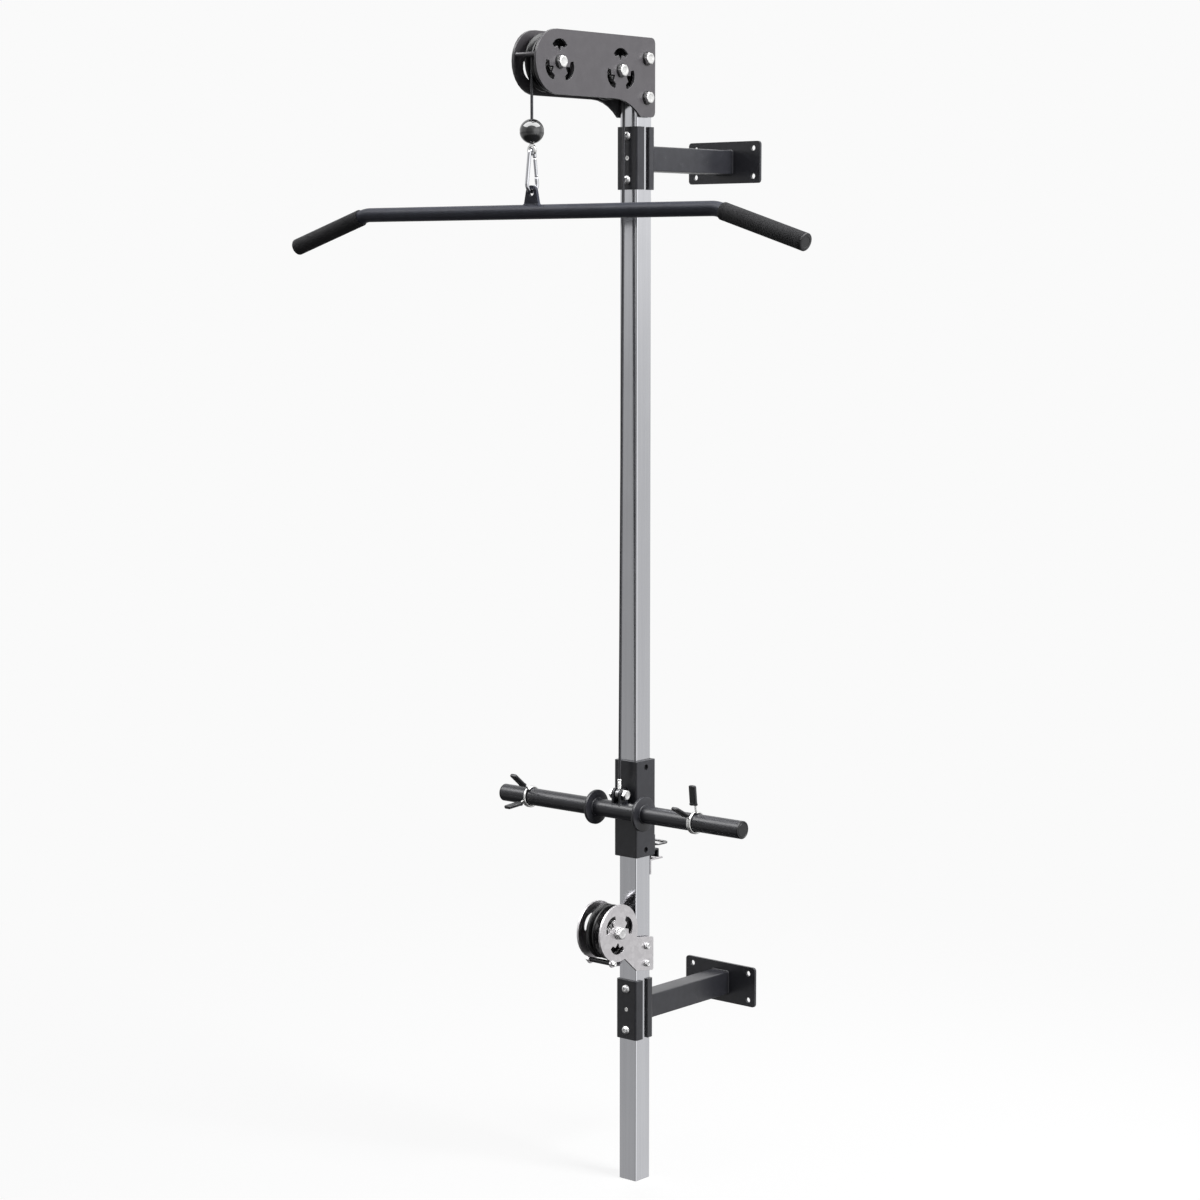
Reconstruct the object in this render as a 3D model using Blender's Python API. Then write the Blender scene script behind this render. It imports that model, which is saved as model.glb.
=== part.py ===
"""Wall-mounted lat pulldown tower.

A square chrome post stands on two wall brackets. A head with two pulleys carries a cable from the
lat bar in front to a weight carriage that slides up the post, and a third pulley sits low down.
Metres. +X runs along the wall, +Y points to the wall, +Z is up. The origin is the centre of the
post's foot.
"""
import bmesh
import bpy
from math import acos, asin, atan2, ceil, cos, hypot, pi, radians, sin, sqrt, tan
from mathutils import Vector

for old in list(bpy.data.objects):
    bpy.data.objects.remove(old, do_unlink=True)

# Driving dimensions: clearances shared by all pieces
GAP = 0.0003
BOLT_PLAY = 0.0006
RUNNING_PLAY = 0.0001
WELD_DEPTH = 0.0015
DRILL_PAST = 0.002
TUBE_INNER_CORNER = 0.001

# Driving dimensions: post
POST_SIDE = 0.040
POST_WALL = 0.002
POST_CORNER = 0.002
POST_HEIGHT = 2.062
PLUG_DEPTH = 0.015

# Driving dimensions: wall brackets and their clamps
WALL_DISTANCE = 0.258
UPPER_CLAMP_BELOW_AXLE = 0.155
LOWER_CLAMP_Z = 0.321
CLAMP_WALL = 0.004
CLAMP_HEIGHT = 0.110
CLAMP_CORNER = 0.005
CLAMP_INNER_CORNER = 0.001
FRONT_CHANNEL_DEPTH = 0.0188
BACK_CHANNEL_DEPTH = 0.0157
CLAMP_BOLT_SPACING = 0.077
CLAMP_HOLE_RADIUS = 0.0045
WALL_PLATE_WIDTH = 0.166
WALL_PLATE_HEIGHT = 0.076
WALL_PLATE_THICKNESS = 0.005
WALL_PLATE_CORNER = 0.006
WALL_HOLE_RADIUS = 0.005
WALL_HOLE_SPACING_X = 0.134
WALL_HOLE_SPACING_Z = 0.051
ARM_WIDTH = 0.040
ARM_HEIGHT = 0.044
ARM_WALL = 0.002
ARM_CORNER = 0.003

# Driving dimensions: fasteners
M5_RADIUS, M5_FLATS, M5_HEAD = 0.0025, 0.008, 0.0035
M6_RADIUS, M6_FLATS, M6_HEAD = 0.003, 0.010, 0.004
M8_RADIUS, M8_FLATS, M8_HEAD = 0.004, 0.013, 0.0065
M10_RADIUS, M10_FLATS, M10_HEAD = 0.005, 0.017, 0.0064
M12_RADIUS, M12_FLATS, M12_HEAD = 0.006, 0.019, 0.0075
BUTTON_RADIUS = 0.0082
BUTTON_HEIGHT = 0.0048
BUTTON_SOCKET_FLATS = 0.006
BUTTON_SOCKET_DEPTH = 0.0025
HEX_FACE_SHARE = 0.47
HEX_CHAMFER_SHARE = 0.15
DOME_TOP, DOME_SHOULDER, DOME_SHOULDER_HEIGHT = 0.62, 0.90, 0.55
THREAD_PROUD = 0.003
WASHER_THICKNESS = 0.0016
WASHER_SHARE = 0.625
VENT_RADIUS = 0.004

# Driving dimensions: pulleys
CABLE_RADIUS = 0.0025
PULLEY_PITCH_RADIUS = 0.041
PULLEY_RADIUS = 0.0495
PULLEY_WIDTH = 0.018
PULLEY_RIM = 0.003
BEARING_RADIUS = 0.013
AXLE_SPACER_RADIUS = 0.0085
SHIM_RADIUS = 0.009

# Driving dimensions: head
HEAD_GAP = 0.046
HEAD_PLATE_THICKNESS = 0.005
HEAD_AXLE_BELOW_TOP = 0.046
FRONT_AXLE_Y = -0.234
REAR_AXLE_Y = -0.0735
REAR_AXLE_DROP = 0.0065
HEAD_END_RADIUS = 0.055
HEAD_END_AHEAD = 0.0065
HEAD_CORNER = 0.009
HEAD_REAR_DROP = 0.0285
HEAD_SWEEP_RADIUS = 0.095
HEAD_BOLT_Y = -0.003
HEAD_BOLT_ABOVE = 0.018
HEAD_BOLT_BELOW = 0.050
RETAINER_RADIUS = 0.004
RETAINER_OUT = 0.0535
RETAINER_ABOVE = 0.0105

# Driving dimensions: cut-outs around each axle
CUTOUT_BOW_CENTRE = 0.016
CUTOUT_BOW_RADIUS = 0.0230
CUTOUT_BOW_ANGLE = radians(56)
CUTOUT_INNER = 0.0270
CUTOUT_TOOTH = 0.0185
CUTOUT_TIP_ANGLE = radians(31)
CUTOUT_TOOTH_ANGLE = radians(13)
CUTOUT_POINT_ANGLE = radians(4)
HEAD_CUTOUT_TURN = radians(90)
LOW_CUTOUT_TURN = radians(261)

# Driving dimensions: low pulley bracket
LOW_GAP = 0.048
LOW_PLATE_THICKNESS = 0.004
LOW_AXLE_Y = -0.077
LOW_AXLE_Z = 0.477
LOW_PLATE_RADIUS = 0.0525
LOW_TAIL_TOP = -0.0160
LOW_TAIL_BOTTOM = -0.0785
LOW_TAIL_SLOPE = 0.0065
LOW_TAIL_NECK = 0.050
LOW_BOLTS_BELOW = 0.0531
LOW_TAIL_CORNER = 0.003
LOW_BOLT_SPACING = 0.032
LOW_RETAINER_DISTANCE = 0.0555
LOW_RETAINER_ANGLE = radians(252.5)
LOW_LOBE_RADIUS = 0.0075
LOW_LEAVE_ANGLE = radians(288)
LOW_SLEEVE_RADIUS = 0.0045

# Driving dimensions: lat bar and what it hangs from
LAT_BAR_BELOW_AXLE = 0.2535
LAT_TUBE_RADIUS = 0.0125
LAT_TUBE_WALL = 0.002
LAT_STRAIGHT_HALF = 0.400
LAT_WING_LENGTH = 0.186
LAT_WING_ANGLE = radians(17.2)
LAT_BEND_RADIUS = 0.060
GRIP_RADIUS = 0.015
GRIP_LENGTH = 0.172
GRIP_SOFT_EDGE = 0.0015
END_CAP_THICKNESS = 0.0025
END_CAP_PLUG = 0.012
END_CAP_EDGE = 0.00125
LUG_THICKNESS = 0.006
LUG_SUNK = 0.0014
LUG_BASE_WIDTH = 0.034
LUG_TOP_RADIUS = 0.0121
LUG_HOLE_ABOVE = 0.0329
LUG_HOLE_RADIUS = 0.006
LUG_HANG = 0.0016
CARABINER_HEIGHT = 0.070
CARABINER_WIRE_RADIUS = 0.0035
CARABINER_TOP_RADIUS = 0.0062
CARABINER_BOTTOM_RADIUS = 0.0128
GATE_RADIUS = 0.0030
GATE_TOP_INSET = 0.014
GATE_BOTTOM_INSET = 0.022
GATE_HINGE_GAP = 0.0016
GATE_NOSE_GAP = 0.0006
EYE_RADIUS = 0.0095
EYE_HOLE_RADIUS = 0.0052
EYE_THICKNESS = 0.005
EYE_NECK_WIDTH = 0.009
BALL_RADIUS = 0.0212
BALL_BELOW_AXLE = 0.1175

# Driving dimensions: weight carriage
CARRIAGE_BOTTOM = 0.6055
CARRIAGE_HEIGHT = 0.177
CARRIAGE_SIDE = 0.053
CARRIAGE_WALL = 0.004
CARRIAGE_CORNER = 0.003
BUTTON_HOLE_RADIUS = 0.0052
BUTTON_HOLE_INSET = 0.0125
LOAD_BAR_RADIUS = 0.016
LOAD_BAR_WALL = 0.004
LOAD_BAR_HALF = 0.282
LOAD_BAR_ABOVE = 0.088
FLANGE_RADIUS = 0.0315
FLANGE_THICKNESS = 0.006
FLANGE_OFFSET = 0.056
EAR_THICKNESS = 0.004
EAR_SPACING = 0.0166
EAR_WIDTH = 0.022
EAR_BOLT_ABOVE = 0.030
TERMINAL_STEM_RADIUS = 0.0042
TERMINAL_STEM_LENGTH = 0.018
TERMINAL_EYE_RADIUS = 0.0095
TERMINAL_THICKNESS = 0.008

# Driving dimensions: spring collars
COLLAR_WIRE_RADIUS = 0.0021
COLLAR_PITCH = 0.0048
COLLAR_LEFT_INSET = 0.0665
COLLAR_RIGHT_INSET = 0.106
COLLAR_LEFT_ROOTS = (radians(200), radians(130))
COLLAR_LEFT_LEANS = (radians(-16), radians(11))
COLLAR_RIGHT_ROOTS = (radians(148), radians(102))
COLLAR_RIGHT_LEANS = (radians(4), radians(-6))
COLLAR_TURNS = 2
COLLAR_RISE = 0.006
COLLAR_HANDLE_REACH = 0.041
COLLAR_LEG_GAP = 0.0045
COLLAR_GRIP_WALL = 0.0009
COLLAR_GRIP_LENGTH = 0.036
COLLAR_GRIP_END_SHARE = 0.75
COLLAR_GRIP_CORNER_SHARE = 0.6
HAIRPIN_SHARE = 0.49

# Driving dimensions: parking stop and lock behind the post
STOP_THICKNESS = 0.003
STOP_HALF_WIDTH = 0.020
STOP_LEG = 0.0285
STOP_REACH = 0.036
BUMPER_THICKNESS = 0.0085
BUMPER_DEPTH = 0.012
BUMPER_HALF_WIDTH = 0.012
BUMPER_CORNER = 0.002
LATCH_HEIGHT = 0.036
LATCH_DROP = 0.007
LATCH_STEP = 0.0095
LATCH_DEPTH = 0.0137
LATCH_PLATE = 0.003
LOCK_PIN_RADIUS = 0.004
LOCK_PIN_ABOVE = 0.0175
LOCK_TIP_RADIUS = 0.003
LOCK_TIP_LENGTH = 0.0012
LOCK_HEAD_RADIUS = 0.006
LOCK_HEAD_LENGTH = 0.0055
STOP_SCREW_BELOW = 0.0105
HANDLE_WIRE_RADIUS = 0.0022
HANDLE_SUNK = 0.003
HANDLE_HALF_WIDTH = 0.0265
HANDLE_REACH = 0.0265
HANDLE_CORNER = 0.006

# Counts
PULLEY_SIDES = 28
LAT_SIDES = 16
FINE_SIDES = 24
SIDES = 12

# Worked-out places
POST_HALF = POST_SIDE / 2
HEAD_AXLE_Z = POST_HEIGHT - HEAD_AXLE_BELOW_TOP
UPPER_CLAMP_Z = HEAD_AXLE_Z - UPPER_CLAMP_BELOW_AXLE
BALL_CENTRE_Z = HEAD_AXLE_Z - BALL_BELOW_AXLE
LAT_BAR_Z = HEAD_AXLE_Z - LAT_BAR_BELOW_AXLE
CLAMP_INNER = POST_HALF + GAP
CLAMP_OUTER = CLAMP_INNER + CLAMP_WALL
WALL_PLATE_FRONT = WALL_DISTANCE - WALL_PLATE_THICKNESS
HEAD_INNER_X = HEAD_GAP / 2
HEAD_OUTER_X = HEAD_INNER_X + HEAD_PLATE_THICKNESS
LOW_INNER_X = LOW_GAP / 2
LOW_OUTER_X = LOW_INNER_X + LOW_PLATE_THICKNESS
LAT_BAR_Y = FRONT_AXLE_Y - PULLEY_PITCH_RADIUS
REAR_CABLE_Y = REAR_AXLE_Y + PULLEY_PITCH_RADIUS
CARRIAGE_HALF = CARRIAGE_SIDE / 2
CARRIAGE_TOP = CARRIAGE_BOTTOM + CARRIAGE_HEIGHT
LOAD_BAR_Y = -(CARRIAGE_HALF + GAP + LOAD_BAR_RADIUS)
LOAD_BAR_Z = CARRIAGE_BOTTOM + LOAD_BAR_ABOVE
EAR_BOLT_Z = LOAD_BAR_Z + EAR_BOLT_ABOVE
LUG_HOLE_Z = LAT_BAR_Z + LUG_HOLE_ABOVE
HANG_Z = LUG_HOLE_Z + LUG_HANG
EYE_Z = HANG_Z + CARABINER_HEIGHT
LOCK_PIN_Z = CARRIAGE_BOTTOM + LOCK_PIN_ABOVE
STOP_TOP = CARRIAGE_BOTTOM - BUMPER_THICKNESS - 2 * GAP
STOP_SCREW_Z = STOP_TOP - STOP_SCREW_BELOW
HEAD_BOLT_HEIGHTS = (HEAD_AXLE_Z + HEAD_BOLT_ABOVE, HEAD_AXLE_Z - HEAD_BOLT_BELOW)
LOW_BOLT_MIDDLE = LOW_AXLE_Z - LOW_BOLTS_BELOW
REAR_AXLE_Z = HEAD_AXLE_Z - REAR_AXLE_DROP
LOW_BOLT_HEIGHTS = (LOW_BOLT_MIDDLE + LOW_BOLT_SPACING / 2, LOW_BOLT_MIDDLE - LOW_BOLT_SPACING / 2)
CLAMP_BOLT_HEIGHTS = [
    centre + side * CLAMP_BOLT_SPACING / 2 for centre in (UPPER_CLAMP_Z, LOWER_CLAMP_Z) for side in (1, -1)
]
LOW_RETAINER_Y = LOW_AXLE_Y + LOW_RETAINER_DISTANCE * cos(LOW_RETAINER_ANGLE)
LOW_RETAINER_Z = LOW_AXLE_Z + LOW_RETAINER_DISTANCE * sin(LOW_RETAINER_ANGLE)

AXES = {"X": (1, 2, 0), "Y": (0, 2, 1), "Z": (0, 1, 2)}


# Materials
def material(name, colour, roughness, metallic):
    made = bpy.data.materials.new(name)
    made.use_nodes = True
    shader = made.node_tree.nodes["Principled BSDF"]
    shader.inputs["Base Color"].default_value = (*colour, 1.0)
    shader.inputs["Roughness"].default_value = roughness
    shader.inputs["Metallic"].default_value = metallic
    made.diffuse_color = (*colour, 1.0)
    return made


CHROME = material("chrome", (0.62, 0.63, 0.65), 0.18, 1.0)
ZINC = material("zinc", (0.66, 0.66, 0.65), 0.32, 1.0)
BLACK_PAINT = material("black_paint", (0.022, 0.022, 0.025), 0.45, 0.0)
GREY_PAINT = material("grey_paint", (0.055, 0.055, 0.060), 0.42, 0.0)
BLUE_GREY_PAINT = material("bar_paint", (0.045, 0.048, 0.062), 0.35, 0.0)
NYLON = material("black_nylon", (0.018, 0.018, 0.020), 0.38, 0.0)
RUBBER = material("black_rubber", (0.012, 0.012, 0.013), 0.80, 0.0)
COATING = material("cable_coating", (0.030, 0.030, 0.034), 0.40, 0.0)
STEEL = material("bearing_steel", (0.55, 0.55, 0.55), 0.25, 1.0)


# Building blocks
def point(axis, u, v, along):
    """A point from its two coordinates across an axis and the one along it."""
    first, second, third = AXES[axis]
    place = [0.0, 0.0, 0.0]
    place[first], place[second], place[third] = u, v, along
    return Vector(place)


def arc(centre, radius, start, end, steps):
    """Points of a flat arc from one angle to another, both ends included."""
    turn = (end - start) / steps
    return [
        (centre[0] + radius * cos(start + turn * k), centre[1] + radius * sin(start + turn * k))
        for k in range(steps + 1)
    ]


def circle(centre, radius, sides=SIDES):
    return arc(centre, radius, 0.0, 2 * pi, sides)[:-1]


def rounded_rectangle(half_width, half_height, corner, steps=2, centre=(0.0, 0.0)):
    points = []
    for quarter, (right, top) in enumerate(((1, 1), (-1, 1), (-1, -1), (1, -1))):
        middle = (centre[0] + right * (half_width - corner), centre[1] + top * (half_height - corner))
        points += arc(middle, corner, quarter * pi / 2, (quarter + 1) * pi / 2, steps)
    return points


def prism(outlines, axis, low, high):
    """A flat outline, with any holes as further outlines, extruded along an axis."""
    bm = bmesh.new()
    for outline in outlines:
        corners = [bm.verts.new(point(axis, u, v, low)) for u, v in outline]
        for here, there in zip(corners, corners[1:] + corners[:1]):
            bm.edges.new((here, there))
    bmesh.ops.triangle_fill(bm, edges=bm.edges[:], use_beauty=True)
    raised = bmesh.ops.extrude_face_region(bm, geom=bm.faces[:])
    moved = [item for item in raised["geom"] if isinstance(item, bmesh.types.BMVert)]
    bmesh.ops.translate(bm, verts=moved, vec=point(axis, 0, 0, high - low))
    bmesh.ops.recalc_face_normals(bm, faces=bm.faces[:])
    return bm


def ring(axis, along, radius, sides=SIDES, centre=(0.0, 0.0)):
    """A round section of a turned piece."""
    return [point(axis, u, v, along) for u, v in circle(centre, radius, sides)]


def hex_ring(axis, along, flats, sides=SIDES, centre=(0.0, 0.0)):
    """A hexagon with points along its sides, so that it can meet a round ring of as many points."""
    corners = []
    for k in range(sides):
        angle = 2 * pi * k / sides
        reach = flats / 2 / cos(angle % (pi / 3) - pi / 6)
        corners.append(point(axis, centre[0] + reach * cos(angle), centre[1] + reach * sin(angle), along))
    return corners


def loft(rings, closed=False):
    """Skin over a row of rings with equal counts. A closed row makes a hollow ring shape."""
    bm = bmesh.new()
    rows = [[bm.verts.new(place) for place in one] for one in rings]
    pairs = list(zip(rows, rows[1:]))
    if closed:
        pairs.append((rows[-1], rows[0]))
    else:
        bm.faces.new(rows[0])
        bm.faces.new(rows[-1])
    for lower, upper in pairs:
        for k in range(len(lower)):
            after = (k + 1) % len(lower)
            bm.faces.new((lower[k], lower[after], upper[after], upper[k]))
    bmesh.ops.recalc_face_normals(bm, faces=bm.faces[:])
    return bm


def turned(profile, axis, sides=SIDES, closed=False, centre=(0.0, 0.0)):
    """A turned solid from (along, radius) pairs."""
    return loft([ring(axis, along, radius, sides, centre) for along, radius in profile], closed)


def tube(axis, low, high, outer, inner, sides=SIDES, centre=(0.0, 0.0)):
    return turned([(low, outer), (high, outer), (high, inner), (low, inner)], axis, sides, True, centre)


def stack(axis, levels, centre):
    """A turned solid that may be hexagonal in places, from (along, size, is it hexagonal) rows."""
    rings = []
    for along, size, hexagonal in levels:
        make = hex_ring if hexagonal else ring
        rings.append(make(axis, along, size, SIDES, centre))
    return loft(rings)


def hex_end(surface, out, size, proud=0.0):
    """Rows of a hex head or nut with its washer, from its outer face in to the surface it clamps."""
    radius, flats, height = size
    washer = flats * WASHER_SHARE
    top = surface + out * (GAP + WASHER_THICKNESS + height)
    seat = surface + out * (GAP + WASHER_THICKNESS)
    chamfer = height * HEX_CHAMFER_SHARE
    rows = []
    if proud:
        rows = [(top + out * proud, radius, False), (top, radius, False)]
    rows += [(top, flats * HEX_FACE_SHARE, False), (top - out * chamfer, flats, True), (seat, flats, True)]
    return rows + [(seat, washer, False), (surface + out * GAP, washer, False), (surface + out * GAP, radius, False)]


def button_end(surface, out, radius):
    """Rows of a round socket head, from the socket's floor to the surface it clamps."""
    seat = surface + out * GAP
    top = seat + out * BUTTON_HEIGHT
    rows = [(top - out * BUTTON_SOCKET_DEPTH, BUTTON_SOCKET_FLATS, True), (top, BUTTON_SOCKET_FLATS, True)]
    shoulder = seat + out * BUTTON_HEIGHT * DOME_SHOULDER_HEIGHT
    rows += [(top, BUTTON_RADIUS * DOME_TOP, False), (shoulder, BUTTON_RADIUS * DOME_SHOULDER, False)]
    return rows + [(seat, BUTTON_RADIUS, False), (seat, radius, False)]


def collar_rows(start, end, shank, radius):
    return [(start, shank, False), (start, radius, False), (end, radius, False), (end, shank, False)]


def cross_bolt(half_span, size, centre, collars=()):
    """A tightened bolt along X: head on the right, spacer collars between, nut on the left."""
    rows = hex_end(half_span, 1, size)
    for start, end, radius in collars:
        rows += collar_rows(start, end, size[0], radius)
    rows += hex_end(-half_span, -1, size, THREAD_PROUD)[::-1]
    return stack("X", rows, centre)


def joined(parts):
    """Several separate bodies as one mesh."""
    whole = bmesh.new()
    for part in parts:
        piece = bpy.data.meshes.new("piece")
        part.to_mesh(piece)
        part.free()
        whole.from_mesh(piece)
        bpy.data.meshes.remove(piece)
    return whole


def rounded_path(corners, radius, steps=5):
    """A path through corners, each one turned into an arc of the given radius."""
    places = [Vector(place) for place in corners]
    path = [places[0]]
    for before, corner, after in zip(places, places[1:], places[2:]):
        inward = (before - corner).normalized()
        outward = (after - corner).normalized()
        half = acos(max(-1.0, min(1.0, inward.dot(outward)))) / 2
        middle = corner + (inward + outward).normalized() * (radius / sin(half))
        start = corner + inward * (radius / tan(half)) - middle
        end = corner + outward * (radius / tan(half)) - middle
        sweep = pi - 2 * half
        for k in range(steps + 1):
            share = k / steps
            weights = sin((1 - share) * sweep), sin(share * sweep)
            path.append(middle + (start * weights[0] + end * weights[1]) / sin(sweep))
    path.append(places[-1])
    return path


def least_gap(path, radius):
    """The smallest gap between two stretches of a round wire that are apart along it, on its points."""
    run = [0.0]
    for here, there in zip(path, path[1:]):
        run.append(run[-1] + (there - here).length)
    gaps = []
    for k, here in enumerate(path):
        gaps += [(path[n] - here).length for n in range(k + 1, len(path)) if run[n] - run[k] > 4 * radius]
    return min(gaps) - 2 * radius


# Objects, joints and cuts
def empty(name, at):
    """The pivot of one moving body, placed on its joint's axis."""
    made = bpy.data.objects.new(name, None)
    made.location = at
    made.empty_display_size = 0.03
    bpy.context.collection.objects.link(made)
    return made


def world_place(item):
    return item.location + (world_place(item.parent) if item.parent else Vector())


def attach(made, at, parent):
    made.location = Vector(at) - (world_place(parent) if parent else Vector())
    made.parent = parent
    bpy.context.collection.objects.link(made)
    return made


def solid(name, bm, finish, at=(0.0, 0.0, 0.0), parent=None):
    """A node from a mesh modelled in place: the mesh is kept about the origin given by at."""
    bmesh.ops.translate(bm, verts=bm.verts[:], vec=-Vector(at))
    mesh = bpy.data.meshes.new(name)
    bm.to_mesh(mesh)
    bm.free()
    mesh.shade_smooth()
    mesh.set_sharp_from_angle(angle=radians(35))
    mesh.materials.append(finish)
    return attach(bpy.data.objects.new(name, mesh), at, parent)


def wire(name, path, radius, finish, at=(0.0, 0.0, 0.0), parent=None, closed=False, fineness=2):
    """A round wire or cable along a path of points."""
    curve = bpy.data.curves.new(name, "CURVE")
    curve.dimensions = "3D"
    curve.bevel_depth = radius
    curve.bevel_resolution = fineness
    curve.use_fill_caps = True
    spline = curve.splines.new("POLY")
    spline.points.add(len(path) - 1)
    for spot, place in zip(spline.points, path):
        spot.co = (*(Vector(place) - Vector(at)), 1.0)
    spline.use_cyclic_u = closed
    curve.materials.append(finish)
    return attach(bpy.data.objects.new(name, curve), at, parent)


def combine(target, label, operation, bm):
    """Adds or removes a hidden helper's shape with a Boolean."""
    mesh = bpy.data.meshes.new(f"{target.name}_{label}")
    bm.to_mesh(mesh)
    bm.free()
    helper = bpy.data.objects.new(f"{target.name}_{label}", mesh)
    helper.hide_render = True
    helper.display_type = "WIRE"
    bpy.context.collection.objects.link(helper)
    boolean = target.modifiers.new(label, "BOOLEAN")
    boolean.operation = operation
    boolean.solver = "EXACT"
    boolean.object = helper


def cut(target, parts):
    combine(target, "holes", "DIFFERENCE", joined(parts))


def weld(target, parts):
    """Joins pieces to a node one by one: each overlaps it, as welded metal is one body."""
    for k, part in enumerate(parts):
        combine(target, f"weld_{k}", "UNION", part)


def drill(axis, low, high, radius, centre):
    return turned([(low, radius), (high, radius)], axis, SIDES, False, centre)


# Post with its two plugs
def make_post():
    outer = rounded_rectangle(POST_HALF, POST_HALF, POST_CORNER)
    inner_half = POST_HALF - POST_WALL
    inner = rounded_rectangle(inner_half, inner_half, TUBE_INNER_CORNER, 1)
    post = solid("post", prism([outer, inner], "Z", 0.0, POST_HEIGHT), CHROME)
    through = POST_HALF + DRILL_PAST
    holes = []
    for height in HEAD_BOLT_HEIGHTS:
        holes.append(drill("X", -through, through, M12_RADIUS + BOLT_PLAY, (HEAD_BOLT_Y, height)))
    for height in LOW_BOLT_HEIGHTS:
        holes.append(drill("X", -through, through, M6_RADIUS + BOLT_PLAY, (0.0, height)))
    for height in CLAMP_BOLT_HEIGHTS:
        holes.append(drill("Y", -through, through, M8_RADIUS + BOLT_PLAY, (0.0, height)))
    holes.append(drill("Y", 0.0, through, LOCK_PIN_RADIUS + 2 * BOLT_PLAY, (0.0, LOCK_PIN_Z)))
    holes.append(drill("Y", 0.0, through, M6_RADIUS + BOLT_PLAY, (0.0, STOP_SCREW_Z)))
    cut(post, holes)

    inside = inner_half - GAP
    plug = rounded_rectangle(inside, inside, TUBE_INNER_CORNER)
    solid("post_foot_plug", prism([plug], "Z", 0.0, PLUG_DEPTH), NYLON)
    top_plug = prism([plug], "Z", POST_HEIGHT - PLUG_DEPTH, POST_HEIGHT)
    solid("post_top_plug", top_plug, NYLON, (0.0, 0.0, POST_HEIGHT))


# Wall brackets
def channel_outline(side, depth):
    """The U of one clamp half. Side is -1 for the front half and +1 for the half at the wall."""
    back = side * CLAMP_OUTER
    mouth = back - side * depth
    inner = CLAMP_INNER - CLAMP_INNER_CORNER
    turn_out = CLAMP_CORNER
    points = [(-CLAMP_OUTER, mouth)]
    for k in range(4):
        angle = k * pi / 6
        x = CLAMP_OUTER - turn_out + turn_out * cos(angle)
        y = CLAMP_OUTER - turn_out + turn_out * sin(angle)
        points.append((-x, side * y))
    for k in range(4):
        angle = pi / 2 - k * pi / 6
        x = CLAMP_OUTER - turn_out + turn_out * cos(angle)
        y = CLAMP_OUTER - turn_out + turn_out * sin(angle)
        points.append((x, side * y))
    points += [(CLAMP_OUTER, mouth), (CLAMP_INNER, mouth)]
    points += [(CLAMP_INNER, side * inner), (inner, side * CLAMP_INNER)]
    points += [(-inner, side * CLAMP_INNER), (-CLAMP_INNER, side * inner)]
    points.append((-CLAMP_INNER, mouth))
    return points


def make_bracket(name, height):
    low, high = height - CLAMP_HEIGHT / 2, height + CLAMP_HEIGHT / 2
    spots = [height + CLAMP_BOLT_SPACING / 2, height - CLAMP_BOLT_SPACING / 2]
    inside, outside = CLAMP_INNER - DRILL_PAST, CLAMP_OUTER + DRILL_PAST
    at = (0.0, 0.0, height)

    front = prism([channel_outline(-1, FRONT_CHANNEL_DEPTH)], "Z", low, high)
    front = solid(f"{name}_clamp_front", front, BLACK_PAINT, at)
    holes = [drill("Y", -outside, -inside, M8_RADIUS + BOLT_PLAY, (0.0, spot)) for spot in spots]
    holes.append(drill("Y", -outside, -inside, CLAMP_HOLE_RADIUS, (0.0, height)))
    cut(front, holes)

    outer = rounded_rectangle(ARM_WIDTH / 2, ARM_HEIGHT / 2, ARM_CORNER, 2, (0.0, height))
    hollow = (ARM_WIDTH / 2 - ARM_WALL, ARM_HEIGHT / 2 - ARM_WALL)
    inner = rounded_rectangle(*hollow, TUBE_INNER_CORNER, 1, (0.0, height))
    arm = prism([outer, inner], "Y", CLAMP_OUTER - WELD_DEPTH, WALL_PLATE_FRONT + WELD_DEPTH)
    bracket = solid(f"{name}_wall_bracket", arm, BLACK_PAINT, (0.0, WALL_DISTANCE, height))
    half_width, half_height = WALL_PLATE_WIDTH / 2, WALL_PLATE_HEIGHT / 2
    outlines = [rounded_rectangle(half_width, half_height, WALL_PLATE_CORNER, 4, (0.0, height))]
    for right in (1, -1):
        for up in (1, -1):
            centre = (right * WALL_HOLE_SPACING_X / 2, height + up * WALL_HOLE_SPACING_Z / 2)
            outlines.append(circle(centre, WALL_HOLE_RADIUS))
    outlines.append(circle((0.0, height), VENT_RADIUS))
    plate = prism(outlines, "Y", WALL_PLATE_FRONT, WALL_DISTANCE)
    back = prism([channel_outline(1, BACK_CHANNEL_DEPTH)], "Z", low, high)
    weld(bracket, [plate, back])
    cut(bracket, [drill("Y", inside, outside, M8_RADIUS + BOLT_PLAY, (0.0, spot)) for spot in spots])

    size = (M8_RADIUS, M8_FLATS, M8_HEAD)
    for place, spot in zip(("top", "bottom"), spots):
        rows = button_end(-CLAMP_OUTER, -1, M8_RADIUS) + hex_end(CLAMP_OUTER, 1, size, THREAD_PROUD)[::-1]
        fastener = stack("Y", rows, (0.0, spot))
        solid(f"{name}_clamp_bolt_{place}", fastener, ZINC, (0.0, -CLAMP_OUTER, spot))


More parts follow.
